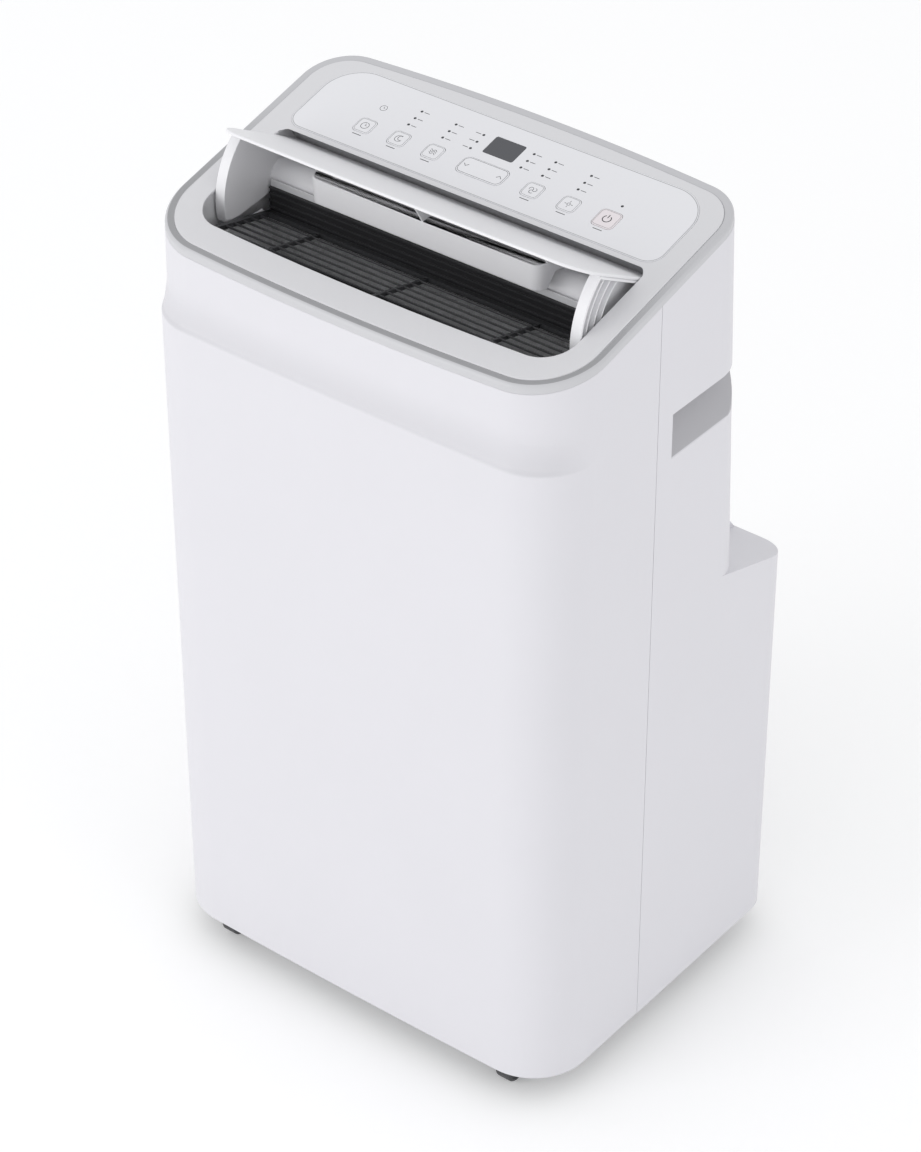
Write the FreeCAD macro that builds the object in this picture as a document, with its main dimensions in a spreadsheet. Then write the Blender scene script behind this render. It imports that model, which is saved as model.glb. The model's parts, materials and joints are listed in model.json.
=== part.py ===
"""A portable air conditioner as a parametric FreeCAD document, one sub-part per physical piece.

Millimetres, +Z up, +X to the user's right, -Y to the front. The origin is on the floor, under the
middle of the cabinet. Every size is a cell of the sheet "dim", defined beside the piece it drives.
"""
import FreeCAD
import Part
import math
import os
import re
import Sketcher

document = FreeCAD.newDocument("PortableAirConditioner")
sheet = document.addObject("Spreadsheet::Sheet", "dim")
aliases = []
sub_parts = []


# ---------------------------------------------------------------- helpers

def define(**sizes):
    """Put each size into the sheet as plain text, under its own alias."""
    for alias, size in sizes.items():
        aliases.append(alias)
        sheet.set(f"A{len(aliases)}", alias)
        sheet.set(f"B{len(aliases)}", str(size))
        sheet.setAlias(f"B{len(aliases)}", alias)
    sheet.recompute()


def linked(expression):
    """The expression with every alias (a word with an underscore) pointed at the sheet."""
    return re.sub(r"\b([a-z]+(?:_[a-z0-9]+)+)\b", r"dim.\1", str(expression))


def value(expression):
    """The number that an expression has now, for the first shape of a sketch."""
    return float(sheet.evalExpression(linked(expression)))


def bind(thing, **paths):
    """Bind properties to expressions; a double underscore stands for the dot in a path."""
    for path, expression in paths.items():
        thing.setExpression(path.replace("__", "."), linked(expression))


def place(thing, x=0, y=0, z=0, axis=None, angle=None):
    """Put a piece at a point given by expressions, turned by an angle about an axis."""
    if axis is not None:
        turn = FreeCAD.Rotation(FreeCAD.Vector(*axis), value(angle))
        thing.Placement = FreeCAD.Placement(FreeCAD.Vector(value(x), value(y), value(z)), turn)
    bind(thing, Placement__Base__x=x, Placement__Base__y=y, Placement__Base__z=z)
    return thing


def box(name, low, size):
    """A box from its low corner and its three sizes."""
    block = document.addObject("Part::Box", name)
    bind(block, Length=size[0], Width=size[1], Height=size[2])
    return place(block, *low)


def span(name, x, y, z):
    """A box from its low and high limits along each axis."""
    low = (x[0], y[0], z[0])
    size = (f"({x[1]}) - ({x[0]})", f"({y[1]}) - ({y[0]})", f"({z[1]}) - ({z[0]})")
    return box(name, low, size)


def cylinder(name, centre, radius, length, along="Z"):
    """A cylinder from the centre of its low end, along one row axis."""
    rod = document.addObject("Part::Cylinder", name)
    bind(rod, Radius=radius, Height=length)
    turns = {"X": ((0, 1, 0), 90), "Y": ((1, 0, 0), -90), "Z": ((0, 0, 1), 0)}
    return place(rod, *centre, axis=turns[along][0], angle=turns[along][1])


def fuse(name, *pieces):
    """One solid from overlapping pieces."""
    union = document.addObject("Part::MultiFuse", name)
    union.Shapes = list(pieces)
    union.Refine = True
    return union


def cut(name, base, *tools):
    """The base with every tool taken out of it."""
    difference = document.addObject("Part::Cut", name)
    difference.Base = base
    difference.Tool = tools[0] if len(tools) == 1 else fuse(name + "_tools", *tools)
    return difference


def common(name, *pieces):
    """What all the pieces share."""
    shared = document.addObject("Part::MultiCommon", name)
    shared.Shapes = list(pieces)
    return shared


def group(name, pieces):
    """Separate solids kept in one node."""
    together = document.addObject("Part::Compound", name)
    together.Links = list(pieces)
    return together


def sub_part(thing, label):
    """Give a finished piece its own label, which names its file."""
    thing.Label = label
    sub_parts.append(thing)
    return thing


def pin_point(sketch, index, x, y):
    """Hold the start of an edge at (x, y) from the sketch's origin, both expressions."""
    for kind, axis, expression in (("DistanceX", -2, x), ("DistanceY", -1, y)):
        number = value(expression)
        if abs(number) < 1e-9:
            sketch.addConstraint(Sketcher.Constraint("PointOnObject", index, 1, axis))
            continue
        if number > 0:
            rule = Sketcher.Constraint(kind, -1, 1, index, 1, number)
            bound = expression
        else:
            rule = Sketcher.Constraint(kind, index, 1, -1, 1, -number)
            bound = f"-({expression})"
        order = sketch.addConstraint(rule)
        sketch.setExpression(f"Constraints[{order}]", linked(bound))


def new_sketch(name, body=None, plane="XY_Plane"):
    """A sketch on one of a body's origin planes, or a free one."""
    if body is None:
        return document.addObject("Sketcher::SketchObject", name)
    sketch = body.newObject("Sketcher::SketchObject", name)
    planes = [f for f in body.Origin.OriginFeatures if f.Role == plane]
    sketch.AttachmentSupport = [(planes[0], "")]
    sketch.MapMode = "FlatFace"
    return sketch


def polygon(name, points, body=None, plane="XY_Plane"):
    """A closed outline of straight edges through points whose coordinates are expressions."""
    sketch = new_sketch(name, body, plane)
    corners = [FreeCAD.Vector(value(x), value(y), 0) for x, y in points]
    for start, end in zip(corners, corners[1:] + corners[:1]):
        sketch.addGeometry(Part.LineSegment(start, end))
    for index, (x, y) in enumerate(points):
        following = (index + 1) % len(points)
        sketch.addConstraint(Sketcher.Constraint("Coincident", index, 2, following, 1))
        pin_point(sketch, index, x, y)
    return sketch


def corner_arc(centre, radius, start, end):
    """An arc about a centre, counter-clockwise between two angles."""
    circle = Part.Circle(FreeCAD.Vector(*centre, 0), FreeCAD.Vector(0, 0, 1), radius)
    return Part.ArcOfCircle(circle, start, end)


def end_edge(half, apex, corner, bow, side):
    """The front (side -1) or back (side +1) edge: its bow arc's middle and its corner's middle."""
    if bow == 0:
        return None, (half - corner, apex - side * corner)
    bow_middle = apex - side * bow
    reach = math.sqrt((bow - corner) ** 2 - (half - corner) ** 2)
    return bow_middle, (half - corner, bow_middle + side * reach)


def outline(name, half, front, back, corners, bows, height, inset="0"):
    """A closed plan outline: straight sides, four tangent corners, bowed or straight ends.

    front and back are the furthest points of the two ends; bows are the radii of their arcs.
    """
    sketch = new_sketch(name)
    grown = [f"({half}) - ({inset})", f"({front}) + ({inset})", f"({back}) - ({inset})"]
    radii = [f"({radius}) - ({inset})" for radius in corners]
    bow_radii = [None if radius is None else f"({radius}) - ({inset})" for radius in bows]
    width, low, high = [value(text) for text in grown]
    tight = [value(text) for text in radii]
    wide = [0 if text is None else value(text) for text in bow_radii]
    front_bow, front_corner = end_edge(width, low, tight[0], wide[0], -1)
    back_bow, back_corner = end_edge(width, high, tight[1], wide[1], 1)
    lean = [math.pi / 2, math.pi / 2]
    for which, (bow, corner) in enumerate(((front_bow, front_corner), (back_bow, back_corner))):
        if bow is not None:
            lean[which] = math.atan2(abs(corner[1] - bow), corner[0])
    mirrored = [(-front_corner[0], front_corner[1]), (-back_corner[0], back_corner[1])]

    def edge(bow, radius, turn, y, run):
        if bow is None:
            return Part.LineSegment(FreeCAD.Vector(run[0], y, 0), FreeCAD.Vector(run[1], y, 0))
        middle = math.pi / 2 if y > 0 else 1.5 * math.pi
        half_turn = math.pi / 2 - turn
        return corner_arc((0, bow), radius, middle - half_turn, middle + half_turn)

    right = Part.LineSegment(FreeCAD.Vector(width, front_corner[1], 0),
                             FreeCAD.Vector(width, back_corner[1], 0))
    left = Part.LineSegment(FreeCAD.Vector(-width, back_corner[1], 0),
                            FreeCAD.Vector(-width, front_corner[1], 0))
    sketch.addGeometry([
        right,
        corner_arc(back_corner, tight[1], 0, lean[1]),
        edge(back_bow, wide[1], lean[1], high, (back_corner[0], -back_corner[0])),
        corner_arc(mirrored[1], tight[1], math.pi - lean[1], math.pi),
        left,
        corner_arc(mirrored[0], tight[0], math.pi, math.pi + lean[0]),
        edge(front_bow, wide[0], lean[0], low, (-front_corner[0], front_corner[0])),
        corner_arc(front_corner, tight[0], 2 * math.pi - lean[0], 2 * math.pi),
    ])
    for index in range(8):
        sketch.addConstraint(Sketcher.Constraint("Tangent", index, 2, (index + 1) % 8, 1))
    for index, sign in ((0, 1), (4, -1)):
        sketch.addConstraint(Sketcher.Constraint("Vertical", index))
        first, last = ((-1, index), (index, -1))[sign < 0]
        order = sketch.addConstraint(Sketcher.Constraint("DistanceX", first, 1, last, 1, width))
        sketch.setExpression(f"Constraints[{order}]", linked(grown[0]))
    for pair, text, number in (((1, 3), radii[1], tight[1]), ((7, 5), radii[0], tight[0])):
        sketch.addConstraint(Sketcher.Constraint("Equal", *pair))
        order = sketch.addConstraint(Sketcher.Constraint("Radius", pair[0], number))
        sketch.setExpression(f"Constraints[{order}]", linked(text))
    for index, text, reach, number in ((2, bow_radii[1], grown[2], wide[1]),
                                       (6, bow_radii[0], grown[1], wide[0])):
        if text is None:
            sketch.addConstraint(Sketcher.Constraint("Horizontal", index))
            ahead = value(reach) > 0
            pair = ((-1, index), (index, -1))[not ahead]
            order = sketch.addConstraint(Sketcher.Constraint("DistanceY", pair[0], 1, pair[1], 1,
                                                             abs(value(reach))))
            sketch.setExpression(f"Constraints[{order}]", linked(reach if ahead else f"-({reach})"))
            continue
        sketch.addConstraint(Sketcher.Constraint("PointOnObject", index, 3, -2))
        order = sketch.addConstraint(Sketcher.Constraint("Radius", index, number))
        sketch.setExpression(f"Constraints[{order}]", linked(text))
        ahead = value(reach) > 0
        pair = ((index, 3, -1, 1), (-1, 1, index, 3))[not ahead]
        away = f"({text}) - ({reach})" if ahead else f"({text}) + ({reach})"
        order = sketch.addConstraint(Sketcher.Constraint("DistanceY", *pair, value(away)))
        sketch.setExpression(f"Constraints[{order}]", linked(away))
    return place(sketch, 0, 0, height)


def extrusion(name, sketch, length, direction=(0, 0, 1)):
    """A solid pulled straight out of a sketch."""
    pulled = document.addObject("Part::Extrusion", name)
    pulled.Base = sketch
    pulled.DirMode = "Custom"
    pulled.Dir = FreeCAD.Vector(*direction)
    pulled.Solid = True
    bind(pulled, LengthFwd=length)
    return pulled


def loft(name, *sections):
    """A ruled solid through outlines that have the same number of edges."""
    skin = document.addObject("Part::Loft", name)
    skin.Sections = list(sections)
    skin.Solid = True
    skin.Ruled = True
    return skin


def side_profile(name, points, x_low, x_high):
    """A prism along X whose cross-section is given as (y, z) points."""
    sketch = polygon(name + "_sketch", points)
    turn = FreeCAD.Rotation(FreeCAD.Vector(1, 1, 1), 120)
    sketch.Placement = FreeCAD.Placement(FreeCAD.Vector(value(x_low), 0, 0), turn)
    bind(sketch, Placement__Base__x=x_low)
    return extrusion(name, sketch, f"({x_high}) - ({x_low})", (1, 0, 0))


def turned(name, profile, label=None):
    """A PartDesign body turned about its own Z axis from a profile of (radius, height) points."""
    body = document.addObject("PartDesign::Body", name)
    sketch = polygon(name + "_profile", profile, body, "XZ_Plane")
    document.recompute()
    revolution = body.newObject("PartDesign::Revolution", name + "_turn")
    revolution.Profile = sketch
    revolution.ReferenceAxis = (sketch, ["V_Axis"])
    revolution.Angle = 360
    body.Tip = revolution
    if label:
        sub_part(body, label)
    return body


def corners_of(half_x, half_y, middle_x="0", middle_y="0"):
    """The four corners of a rectangle about its middle."""
    signs = ((-1, -1), (1, -1), (1, 1), (-1, 1))
    return [(f"({middle_x}) + ({i}) * ({half_x})", f"({middle_y}) + ({j}) * ({half_y})") for i, j in signs]


# ---------------------------------------------------------------- cabinet outlines

define(
    half_width=217.5, wall_thickness=2.5, underside_height=28.0, seam_line=-36.0,
    crown_front=-173.9, crown_front_corner=60.5, crown_front_bow=2816.0,
    crown_back=95.7, crown_back_corner=43.4, crown_back_bow=2451.0, crown_back_height=806.0,
    back_slope=0.0515, crown_top=850.0, ramp_top=743.0, ramp_middle=704.0, ramp_low=682.0,
    bulge_top=669.0, bulge_front=-176.9, bulge_foot=-173.7, bulge_corner=55.0, bulge_bow=9000.0,
    lower_back=175.0, lower_back_corner=30.0, ledge_height=470.9, ledge_slope=0.302,
    ledge_block_half=158.0, ledge_block_rise=8.0, far_out=400.0,
    deck_height=784.31, deck_angle=13.64, trim_depth=7.1, trim_width=8.0, deck_thickness=3.0,
)
CROWN_BACK = "crown_back + back_slope * (crown_back_height - ({z}))"


def cabinet_solid(name, inset):
    """The cabinet's outer form, or the hollow inside it: a lofted front and a deeper lower back."""
    stations = (
        ("underside_height - 1", "bulge_foot", "bulge_corner", "bulge_bow"),
        ("bulge_top - 4", "bulge_front", "bulge_corner", "bulge_bow"),
        ("bulge_top", "bulge_front + 0.9", "bulge_corner", "bulge_bow"),
        ("ramp_low", "bulge_front * 0.62 + crown_front * 0.38 + 0.5", "58", "crown_front_bow * 2"),
        ("ramp_middle", "crown_front - 0.5", "60", "crown_front_bow"),
        ("ramp_top", "crown_front", "crown_front_corner", "crown_front_bow"),
        ("crown_top", "crown_front", "crown_front_corner", "crown_front_bow"),
    )
    sections = []
    for order, (height, front, corner, bow) in enumerate(stations):
        back = CROWN_BACK.format(z=height)
        sections.append(outline(f"{name}_section_{order}", "half_width", front, back,
                                (corner, "crown_back_corner"), (bow, "crown_back_bow"), height, inset))
    upper = loft(f"{name}_upper", *sections)
    plan = outline(f"{name}_plan", "half_width", "-100", "lower_back",
                   ("20", "lower_back_corner"), (None, None), "underside_height - 1", inset)
    lower = extrusion(f"{name}_lower", plan, "460")
    ledge = side_profile(f"{name}_ledge", [
        ("-120", f"ledge_height + ledge_slope * 120 - ({inset})"),
        ("300", f"ledge_height - ledge_slope * 300 - ({inset})"),
        ("300", "600"),
        ("-120", "600"),
    ], "-far_out", "far_out")
    block = side_profile(f"{name}_block", [
        ("20", f"ledge_height + ledge_block_rise - ledge_slope * 20 - ({inset})"),
        (f"lower_back - 9 - ({inset})",
         f"ledge_height + ledge_block_rise - ledge_slope * (lower_back - 9) - ({inset})"),
        (f"lower_back - ({inset})", f"ledge_height - 1 - ledge_slope * lower_back - ({inset})"),
        (f"lower_back - ({inset})", "380"),
        ("20", "380"),
    ], f"-(ledge_block_half - ({inset}))", f"ledge_block_half - ({inset})")
    return fuse(f"{name}_solid", upper, cut(f"{name}_lower_cut", lower, ledge), block)


def deck_slab(name, low, high):
    """An inclined slab between two offsets from the deck plane, measured square to it."""
    slab = document.addObject("Part::Box", name)
    bind(slab, Length="2 * far_out", Width="2 * far_out", Height=f"({high}) - ({low})")
    y = f"-far_out * cos(deck_angle) - ({low}) * sin(deck_angle)"
    z = f"deck_height - far_out * sin(deck_angle) + ({low}) * cos(deck_angle)"
    return place(slab, "-far_out", y, z, axis=(1, 0, 0), angle="deck_angle")


def on_deck(thing):
    """Place a piece that was drawn flat, with its origin at the deck plane over the cabinet's middle."""
    return place(thing, 0, 0, "deck_height", axis=(1, 0, 0), angle="deck_angle")


outer = cabinet_solid("outer", "0")
hollow = cabinet_solid("hollow", "wall_thickness")
above_shells = deck_slab("above_shells", "-trim_depth", "300")

# ---------------------------------------------------------------- side grips

define(grip_front=-16.0, grip_low=614.0, grip_high=657.0, grip_depth=25.0)


def grip_wedge(name, side, grow):
    """The wedge-shaped hand pocket: deep under its ceiling, running out of the rear corner."""
    outside = f"{side} * (half_width + 6 + ({grow}))"
    fade = f"{side} * (half_width + 0.01)"
    sketch = polygon(name + "_sketch", [
        (outside, f"grip_low - ({grow})"),
        (fade, f"grip_low - ({grow})"),
        (f"{side} * (half_width - grip_depth - ({grow}))", f"grip_high - 4 - ({grow}) * 0.5"),
        (f"{side} * (half_width - grip_depth - ({grow}))", f"grip_high + ({grow})"),
        (outside, f"grip_high + ({grow})"),
    ])
    turn = FreeCAD.Rotation(FreeCAD.Vector(1, 0, 0), 90)
    sketch.Placement = FreeCAD.Placement(FreeCAD.Vector(0, value("far_out"), 0), turn)
    bind(sketch, Placement__Base__y="far_out")
    return extrusion(name, sketch, f"far_out - grip_front + ({grow})", (0, -1, 0))


grips = [grip_wedge(f"grip_{side_name}", side, "0") for side_name, side in (("right", "1"), ("left", "-1"))]
grip_walls = [grip_wedge(f"grip_wall_{side_name}", side, "wall_thickness")
              for side_name, side in (("right", "1"), ("left", "-1"))]
shell_hollow = cut("shell_hollow", hollow, *grip_walls)

# ---------------------------------------------------------------- front shell

front_half = span("front_half", ("-far_out", "far_out"), ("-far_out", "seam_line"),
                  ("underside_height", "900"))
front_block = common("front_block", outer, front_half)
front_shell = cut("front_shell", front_block, shell_hollow, above_shells)
sub_part(front_shell, "front_shell")

# ---------------------------------------------------------------- rear shell

define(
    upper_filter_half=160.0, upper_filter_low=480.0, upper_filter_height=235.0, upper_filter_depth=8.0,
    upper_filter_face=107.6, back_lean=2.95, lower_filter_half=165.0, lower_filter_low=62.0,
    lower_filter_height=174.0, lower_filter_face=174.5, filter_gap=0.5,
    exhaust_height=325.0, exhaust_radius=65.0, exhaust_wall=3.0, exhaust_flange=76.0,
    drain_radius=8.0, drain_boss=10.0, drain_boss_length=18.0, lower_drain_height=42.0,
    upper_drain_x=150.0, upper_drain_height=395.0, bushing_radius=8.0, bushing_x=180.0, bushing_height=300.0,
    screw_hole=2.0, screw_shank=1.9, screw_head=3.5, screw_head_height=2.0, screw_length=10.0,
    lower_screw_x=178.0, upper_screw_x=168.0, first_screw_height=90.0, second_screw_height=395.0,
    third_screw_height=500.0, fourth_screw_height=690.0,
)
SCREWS = [(x, "lower_back", z) for x in ("lower_screw_x", "-lower_screw_x")
          for z in ("first_screw_height", "second_screw_height")]
SCREWS += [(x, f"crown_back - 5.4 + back_slope * (crown_back_height - {z})", z)
           for x in ("upper_screw_x", "-upper_screw_x") for z in ("third_screw_height",
                                                                  "fourth_screw_height")]

rear_half = span("rear_half", ("-far_out", "far_out"), ("seam_line", "far_out"), ("underside_height", "900"))
rear_block = common("rear_block", outer, rear_half)
upper_window = box("upper_window", ("-upper_filter_half - filter_gap", "0", "0"),
                   ("2 * upper_filter_half + 2 * filter_gap", "30", "upper_filter_height + 2 * filter_gap"))
place(upper_window, "-upper_filter_half - filter_gap", "upper_filter_face - 15",
      "upper_filter_low - filter_gap - 15 * sin(back_lean)", axis=(1, 0, 0), angle="back_lean")
lower_window = box("lower_window",
                   ("-lower_filter_half - filter_gap", "lower_back - 8", "lower_filter_low - filter_gap"),
                   ("2 * lower_filter_half + 2 * filter_gap", "20", "lower_filter_height + 2 * filter_gap"))
rear_tools = [
    shell_hollow, above_shells, *grips, upper_window, lower_window,
    cylinder("exhaust_hole", ("0", "lower_back - 8", "exhaust_height"), "exhaust_flange + 0.3", "20", "Y"),
    cylinder("bushing_hole", ("-bushing_x", "lower_back - 8", "bushing_height"), "bushing_radius + 0.1",
             "20", "Y"),
]
for number, (x, y, z) in enumerate(SCREWS):
    rear_tools.append(cylinder(f"screw_hole_{number}", (x, f"{y} - 12", z), "screw_hole", "24", "Y"))
rear_walls = cut("rear_walls", rear_block, *rear_tools)
DRAINS = (("lower", "0", "lower_drain_height"), ("upper", "upper_drain_x", "upper_drain_height"))
bosses = []
drain_holes = []
for which, x, z in DRAINS:
    start = (x, "lower_back - wall_thickness - drain_boss_length", z)
    bosses.append(cylinder(f"{which}_drain_boss", start, "drain_boss", "drain_boss_length + 0.5", "Y"))
    drain_holes.append(cylinder(f"{which}_drain_hole", (x, "100", z), "drain_radius", "120", "Y"))
rear_shell = cut("rear_shell", fuse("rear_with_bosses", rear_walls, *bosses), *drain_holes)
sub_part(rear_shell, "rear_shell")

# ---------------------------------------------------------------- trim ring and top cover

define(
    opening_half=188.0, opening_front=-140.0, opening_bow=3440.0, opening_back=-17.0,
    opening_front_corner=30.0, opening_back_corner=8.0,
    pivot_y=-29.9, pivot_z=747.5, trough_radius=36.0, trough_end=8.0,
)
crown_outline = outline("crown_outline", "half_width", "crown_front", "crown_back",
                        ("crown_front_corner", "crown_back_corner"), ("crown_front_bow", "crown_back_bow"),
                        "700")
crown_inner = outline("crown_inner", "half_width", "crown_front", "crown_back",
                      ("crown_front_corner", "crown_back_corner"), ("crown_front_bow", "crown_back_bow"),
                      "700", "trim_width")
trim_blank = common("trim_blank", extrusion("trim_prism", crown_outline, "150"),
                    deck_slab("trim_slab", "-trim_depth", "0"))
trim_ring = cut("trim_ring", trim_blank, extrusion("trim_hole", crown_inner, "150"))
sub_part(trim_ring, "trim_ring")

opening_outline = outline("opening_outline", "opening_half", "opening_front", "opening_back",
                          ("opening_front_corner", "opening_back_corner"), ("opening_bow", None), "650")
deck_opening = extrusion("deck_opening", opening_outline, "200")
trough_rod = cylinder("trough_rod", ("-opening_half", "pivot_y", "pivot_z"), "trough_radius",
                      "2 * opening_half", "X")
document.recompute()
trough = document.addObject("Part::Fillet", "trough")
trough.Base = trough_rod
trough.Edges = [(number, value("trough_end"), value("trough_end"))
                for number, rod_edge in enumerate(trough_rod.Shape.Edges, start=1)
                if isinstance(rod_edge.Curve, Part.Circle)]

define(
    overlay_half=190.0, overlay_front=-10.3, overlay_back=76.2, overlay_front_corner=15.0,
    overlay_back_corner=35.0, overlay_thickness=1.2, key_gap=0.4, key_half=8.5, key_line=17.5,
    key_height=7.3, key_stand=0.3, rocker_half_x=23.0, rocker_half_y=10.0, rocker_x=-1.5, rocker_y=17.5,
    rocker_depth=5.0, power_half=10.2, display_x=-1.6, display_y=47.8, display_half_x=15.5,
    display_half_y=11.0, light_radius=1.3,
)
overlay_outline = outline("overlay_outline", "overlay_half", "overlay_front", "overlay_back",
                          ("overlay_front_corner", "overlay_back_corner"), (None, None), "0")
KEYS = (
    ("timer_key", "-125", "key_half"), ("sleep_key", "-89", "key_half"), ("swing_key", "-53", "key_half"),
    ("fan_key", "49.5", "key_half"), ("mode_key", "86", "key_half"), ("power_key", "124", "power_half"),
)


def cap(name, half_x, half_y, corner, x, y, low, high):
    """A rounded rectangular prism standing on the deck's own flat plane."""
    sketch = polygon(name + "_sketch", corners_of(half_x, half_y, x, y))
    prism = extrusion(name + "_prism", sketch, f"({high}) - ({low})")
    bind(sketch, Placement__Base__z=low)
    document.recompute()
    rounded = document.addObject("Part::Fillet", name)
    rounded.Base = prism
    upright = []
    for number, prism_edge in enumerate(prism.Shape.Edges, start=1):
        if abs(prism_edge.Vertexes[0].X - prism_edge.Vertexes[1].X) < 1e-6:
            if abs(prism_edge.Vertexes[0].Y - prism_edge.Vertexes[1].Y) < 1e-6:
                upright.append((number, corner, corner))
    rounded.Edges = upright
    return rounded


def panel_holes(stage, low, high):
    """The holes that the keys, the rocker and the display need, between two offsets from the deck."""
    holes = []
    for name, x, half in KEYS:
        hole = f"({half}) + key_gap"
        holes.append(cap(f"{name}_hole_{stage}", hole, hole, 4.6, x, "key_line", low, high))
    holes.append(cap(f"rocker_hole_{stage}", "rocker_half_x + key_gap", "rocker_half_y + key_gap", 6.4,
                     "rocker_x", "rocker_y", low, high))
    holes.append(cap(f"display_hole_{stage}", "display_half_x", "display_half_y", 2.0,
                     "display_x", "display_y", low, high))
    return holes


top_blank = common("top_blank", extrusion("top_prism", crown_inner, "150"),
                   deck_slab("top_slab", "-deck_thickness", "0"))
recess_sketch = outline("recess_outline", "overlay_half + 0.05", "overlay_front - 0.05",
                        "overlay_back + 0.05",
                        ("overlay_front_corner", "overlay_back_corner"), (None, None), "-overlay_thickness")
recess = on_deck(group("overlay_recess", [extrusion("recess_prism", recess_sketch, "10")]))
cover_holes = on_deck(group("cover_holes", panel_holes("cover", "-10", "5")))
top_cover = cut("top_cover", top_blank, deck_opening, trough, recess, cover_holes)
sub_part(top_cover, "top_cover")

# ---------------------------------------------------------------- control panel

LIGHT_COLUMNS = ("-93", "-57", "-28", "24", "46", "82")
LIGHT_ROWS = ("36", "45", "54.5")
LIGHTS = [(x, y) for x in LIGHT_COLUMNS for y in LIGHT_ROWS] + [("126", "36")]
light_holes = [cylinder(f"light_hole_{n}", (x, y, "-6"), "light_radius", "12") for n,
               (x, y) in enumerate(LIGHTS)]
overlay_prism = extrusion("overlay_prism", overlay_outline, "overlay_thickness")
bind(overlay_outline, Placement__Base__z="-overlay_thickness")
control_overlay = on_deck(cut("control_overlay", overlay_prism, *panel_holes("overlay", "-6", "5"),
                              *light_holes))
sub_part(control_overlay, "control_overlay")

lights = [cylinder(f"light_{n}", (x, y, "-overlay_thickness"), "light_radius", "overlay_thickness")
          for n, (x, y) in enumerate(LIGHTS)]
sub_part(on_deck(group("status_lights", lights)), "status_lights")

display = cap("display_window", "display_half_x - 0.1", "display_half_y - 0.1", 1.9,
              "display_x", "display_y", "-deck_thickness", "-0.1")
sub_part(on_deck(display), "display_window")

for name, x, half in KEYS:
    key = cap(name, half, half, 4.2, x, "key_line", "key_stand - key_height", "key_stand")
    sub_part(on_deck(key), name)
rocker = cap("temperature_rocker", "rocker_half_x", "rocker_half_y", 6.0, "rocker_x", "rocker_y",
             "-rocker_depth", "key_stand")
sub_part(on_deck(rocker), "temperature_rocker")

define(board_half=175.0, board_front=6.5, board_back=66.0, board_top=-10.0, board_thickness=1.6,
       switch_top=-7.9,
       switch_radius=3.0, fulcrum_radius=1.0, fulcrum_gap=0.3, fulcrum_half=8.0, module_half_x=18.0,
       module_front=38.0, module_back=64.0, module_top=-4.0)
board_pieces = [span("board_plate", ("-board_half", "board_half"), ("board_front", "board_back"),
                     ("board_top - board_thickness", "board_top"))]
for name, x, half in KEYS:
    board_pieces.append(cylinder(f"{name}_switch", (x, "key_line", "board_top"), "switch_radius",
                                 "switch_top - board_top"))
FULCRUM_LEVEL = "-rocker_depth - fulcrum_gap - fulcrum_radius"
board_pieces.append(cylinder("rocker_fulcrum", ("rocker_x", "rocker_y - fulcrum_half", FULCRUM_LEVEL),
                             "fulcrum_radius", "2 * fulcrum_half", "Y"))
board_pieces.append(span("fulcrum_post", ("rocker_x - fulcrum_radius / 2", "rocker_x + fulcrum_radius / 2"),
                         ("rocker_y - fulcrum_half", "rocker_y + fulcrum_half"),
                         ("board_top", FULCRUM_LEVEL)))
board_pieces.append(span("display_module", ("display_x - module_half_x", "display_x + module_half_x"),
                         ("module_front", "module_back"), ("board_top", "module_top")))
sub_part(on_deck(fuse("control_board", *board_pieces)), "control_board")

# ---------------------------------------------------------------- outlet well

define(
    well_half=192.0, well_side=189.5, well_front=-141.0, well_low=681.0, pocket_low=684.0,
    duct_half=174.5, duct_front=-138.0, fin_front=-48.0, fin_back=-46.5, fin_top=750.0,
    divider_half=176.0, grille_top=726.0, grille_thickness=4.0, pin_hole=3.05, trough_wall=2.5,
)
well_front_block = span("well_front_block", ("-well_half", "well_half"), ("well_front", "pivot_y"),
                        ("well_low", "820"))
well_back_block = span("well_back_block", ("-well_half", "well_half"),
                       ("pivot_y - 1", "pivot_y + trough_radius + trough_wall"), ("well_low", "pivot_z"))
well_round = cylinder("well_round", ("-well_half", "pivot_y", "pivot_z"), "trough_radius + trough_wall",
                      "2 * well_half", "X")
well_block = cut("well_block", fuse("well_blank", well_front_block, well_back_block, well_round),
                 deck_slab("well_lid", "-deck_thickness", "200"))
open_top = span("open_top", ("-well_side", "well_side"), ("duct_front", "fin_front"), ("grille_top", "830"))
well_trough = cylinder("well_trough", ("-well_side", "pivot_y", "pivot_z"), "trough_radius", "2 * well_side",
                       "X")
fin = span("fin", ("-duct_half", "duct_half"), ("fin_front", "fin_back"), ("well_low", "fin_top"))
air_way = span("air_way", ("-duct_half", "duct_half"), ("duct_front", "fin_front"), ("well_low - 5", "830"))
pockets = [
    span("pocket_right", ("divider_half", "well_side"), ("duct_front", "pivot_y + 20"),
         ("pocket_low", "830")),
    span("pocket_left", ("-well_side", "-divider_half"), ("duct_front", "pivot_y + 20"),
         ("pocket_low", "830")),
]
pin_holes = [cylinder("pin_bore", ("-well_half - 5", "pivot_y", "pivot_z"), "pin_hole", "2 * well_half + 10",
                      "X")]
underside = cut("trough_underside",
                span("underside_blank", ("-duct_half", "duct_half"), ("fin_back", "pivot_y + trough_radius"),
                     ("well_low - 5", "pivot_z")),
                cylinder("underside_skin", ("-far_out", "pivot_y", "pivot_z"), "trough_radius + trough_wall",
                         "2 * far_out", "X"))
well_hollows = cut("well_hollows", fuse("well_open", open_top, well_trough, air_way, *pockets), fin)
over_trough = span("over_trough", ("-well_side", "well_side"), ("fin_back", "pivot_y"), ("pivot_z", "830"))
outlet_well = cut("outlet_well", well_block, well_hollows, underside, over_trough, *pin_holes)
sub_part(outlet_well, "outlet_well")

# ---------------------------------------------------------------- outlet grille

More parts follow.
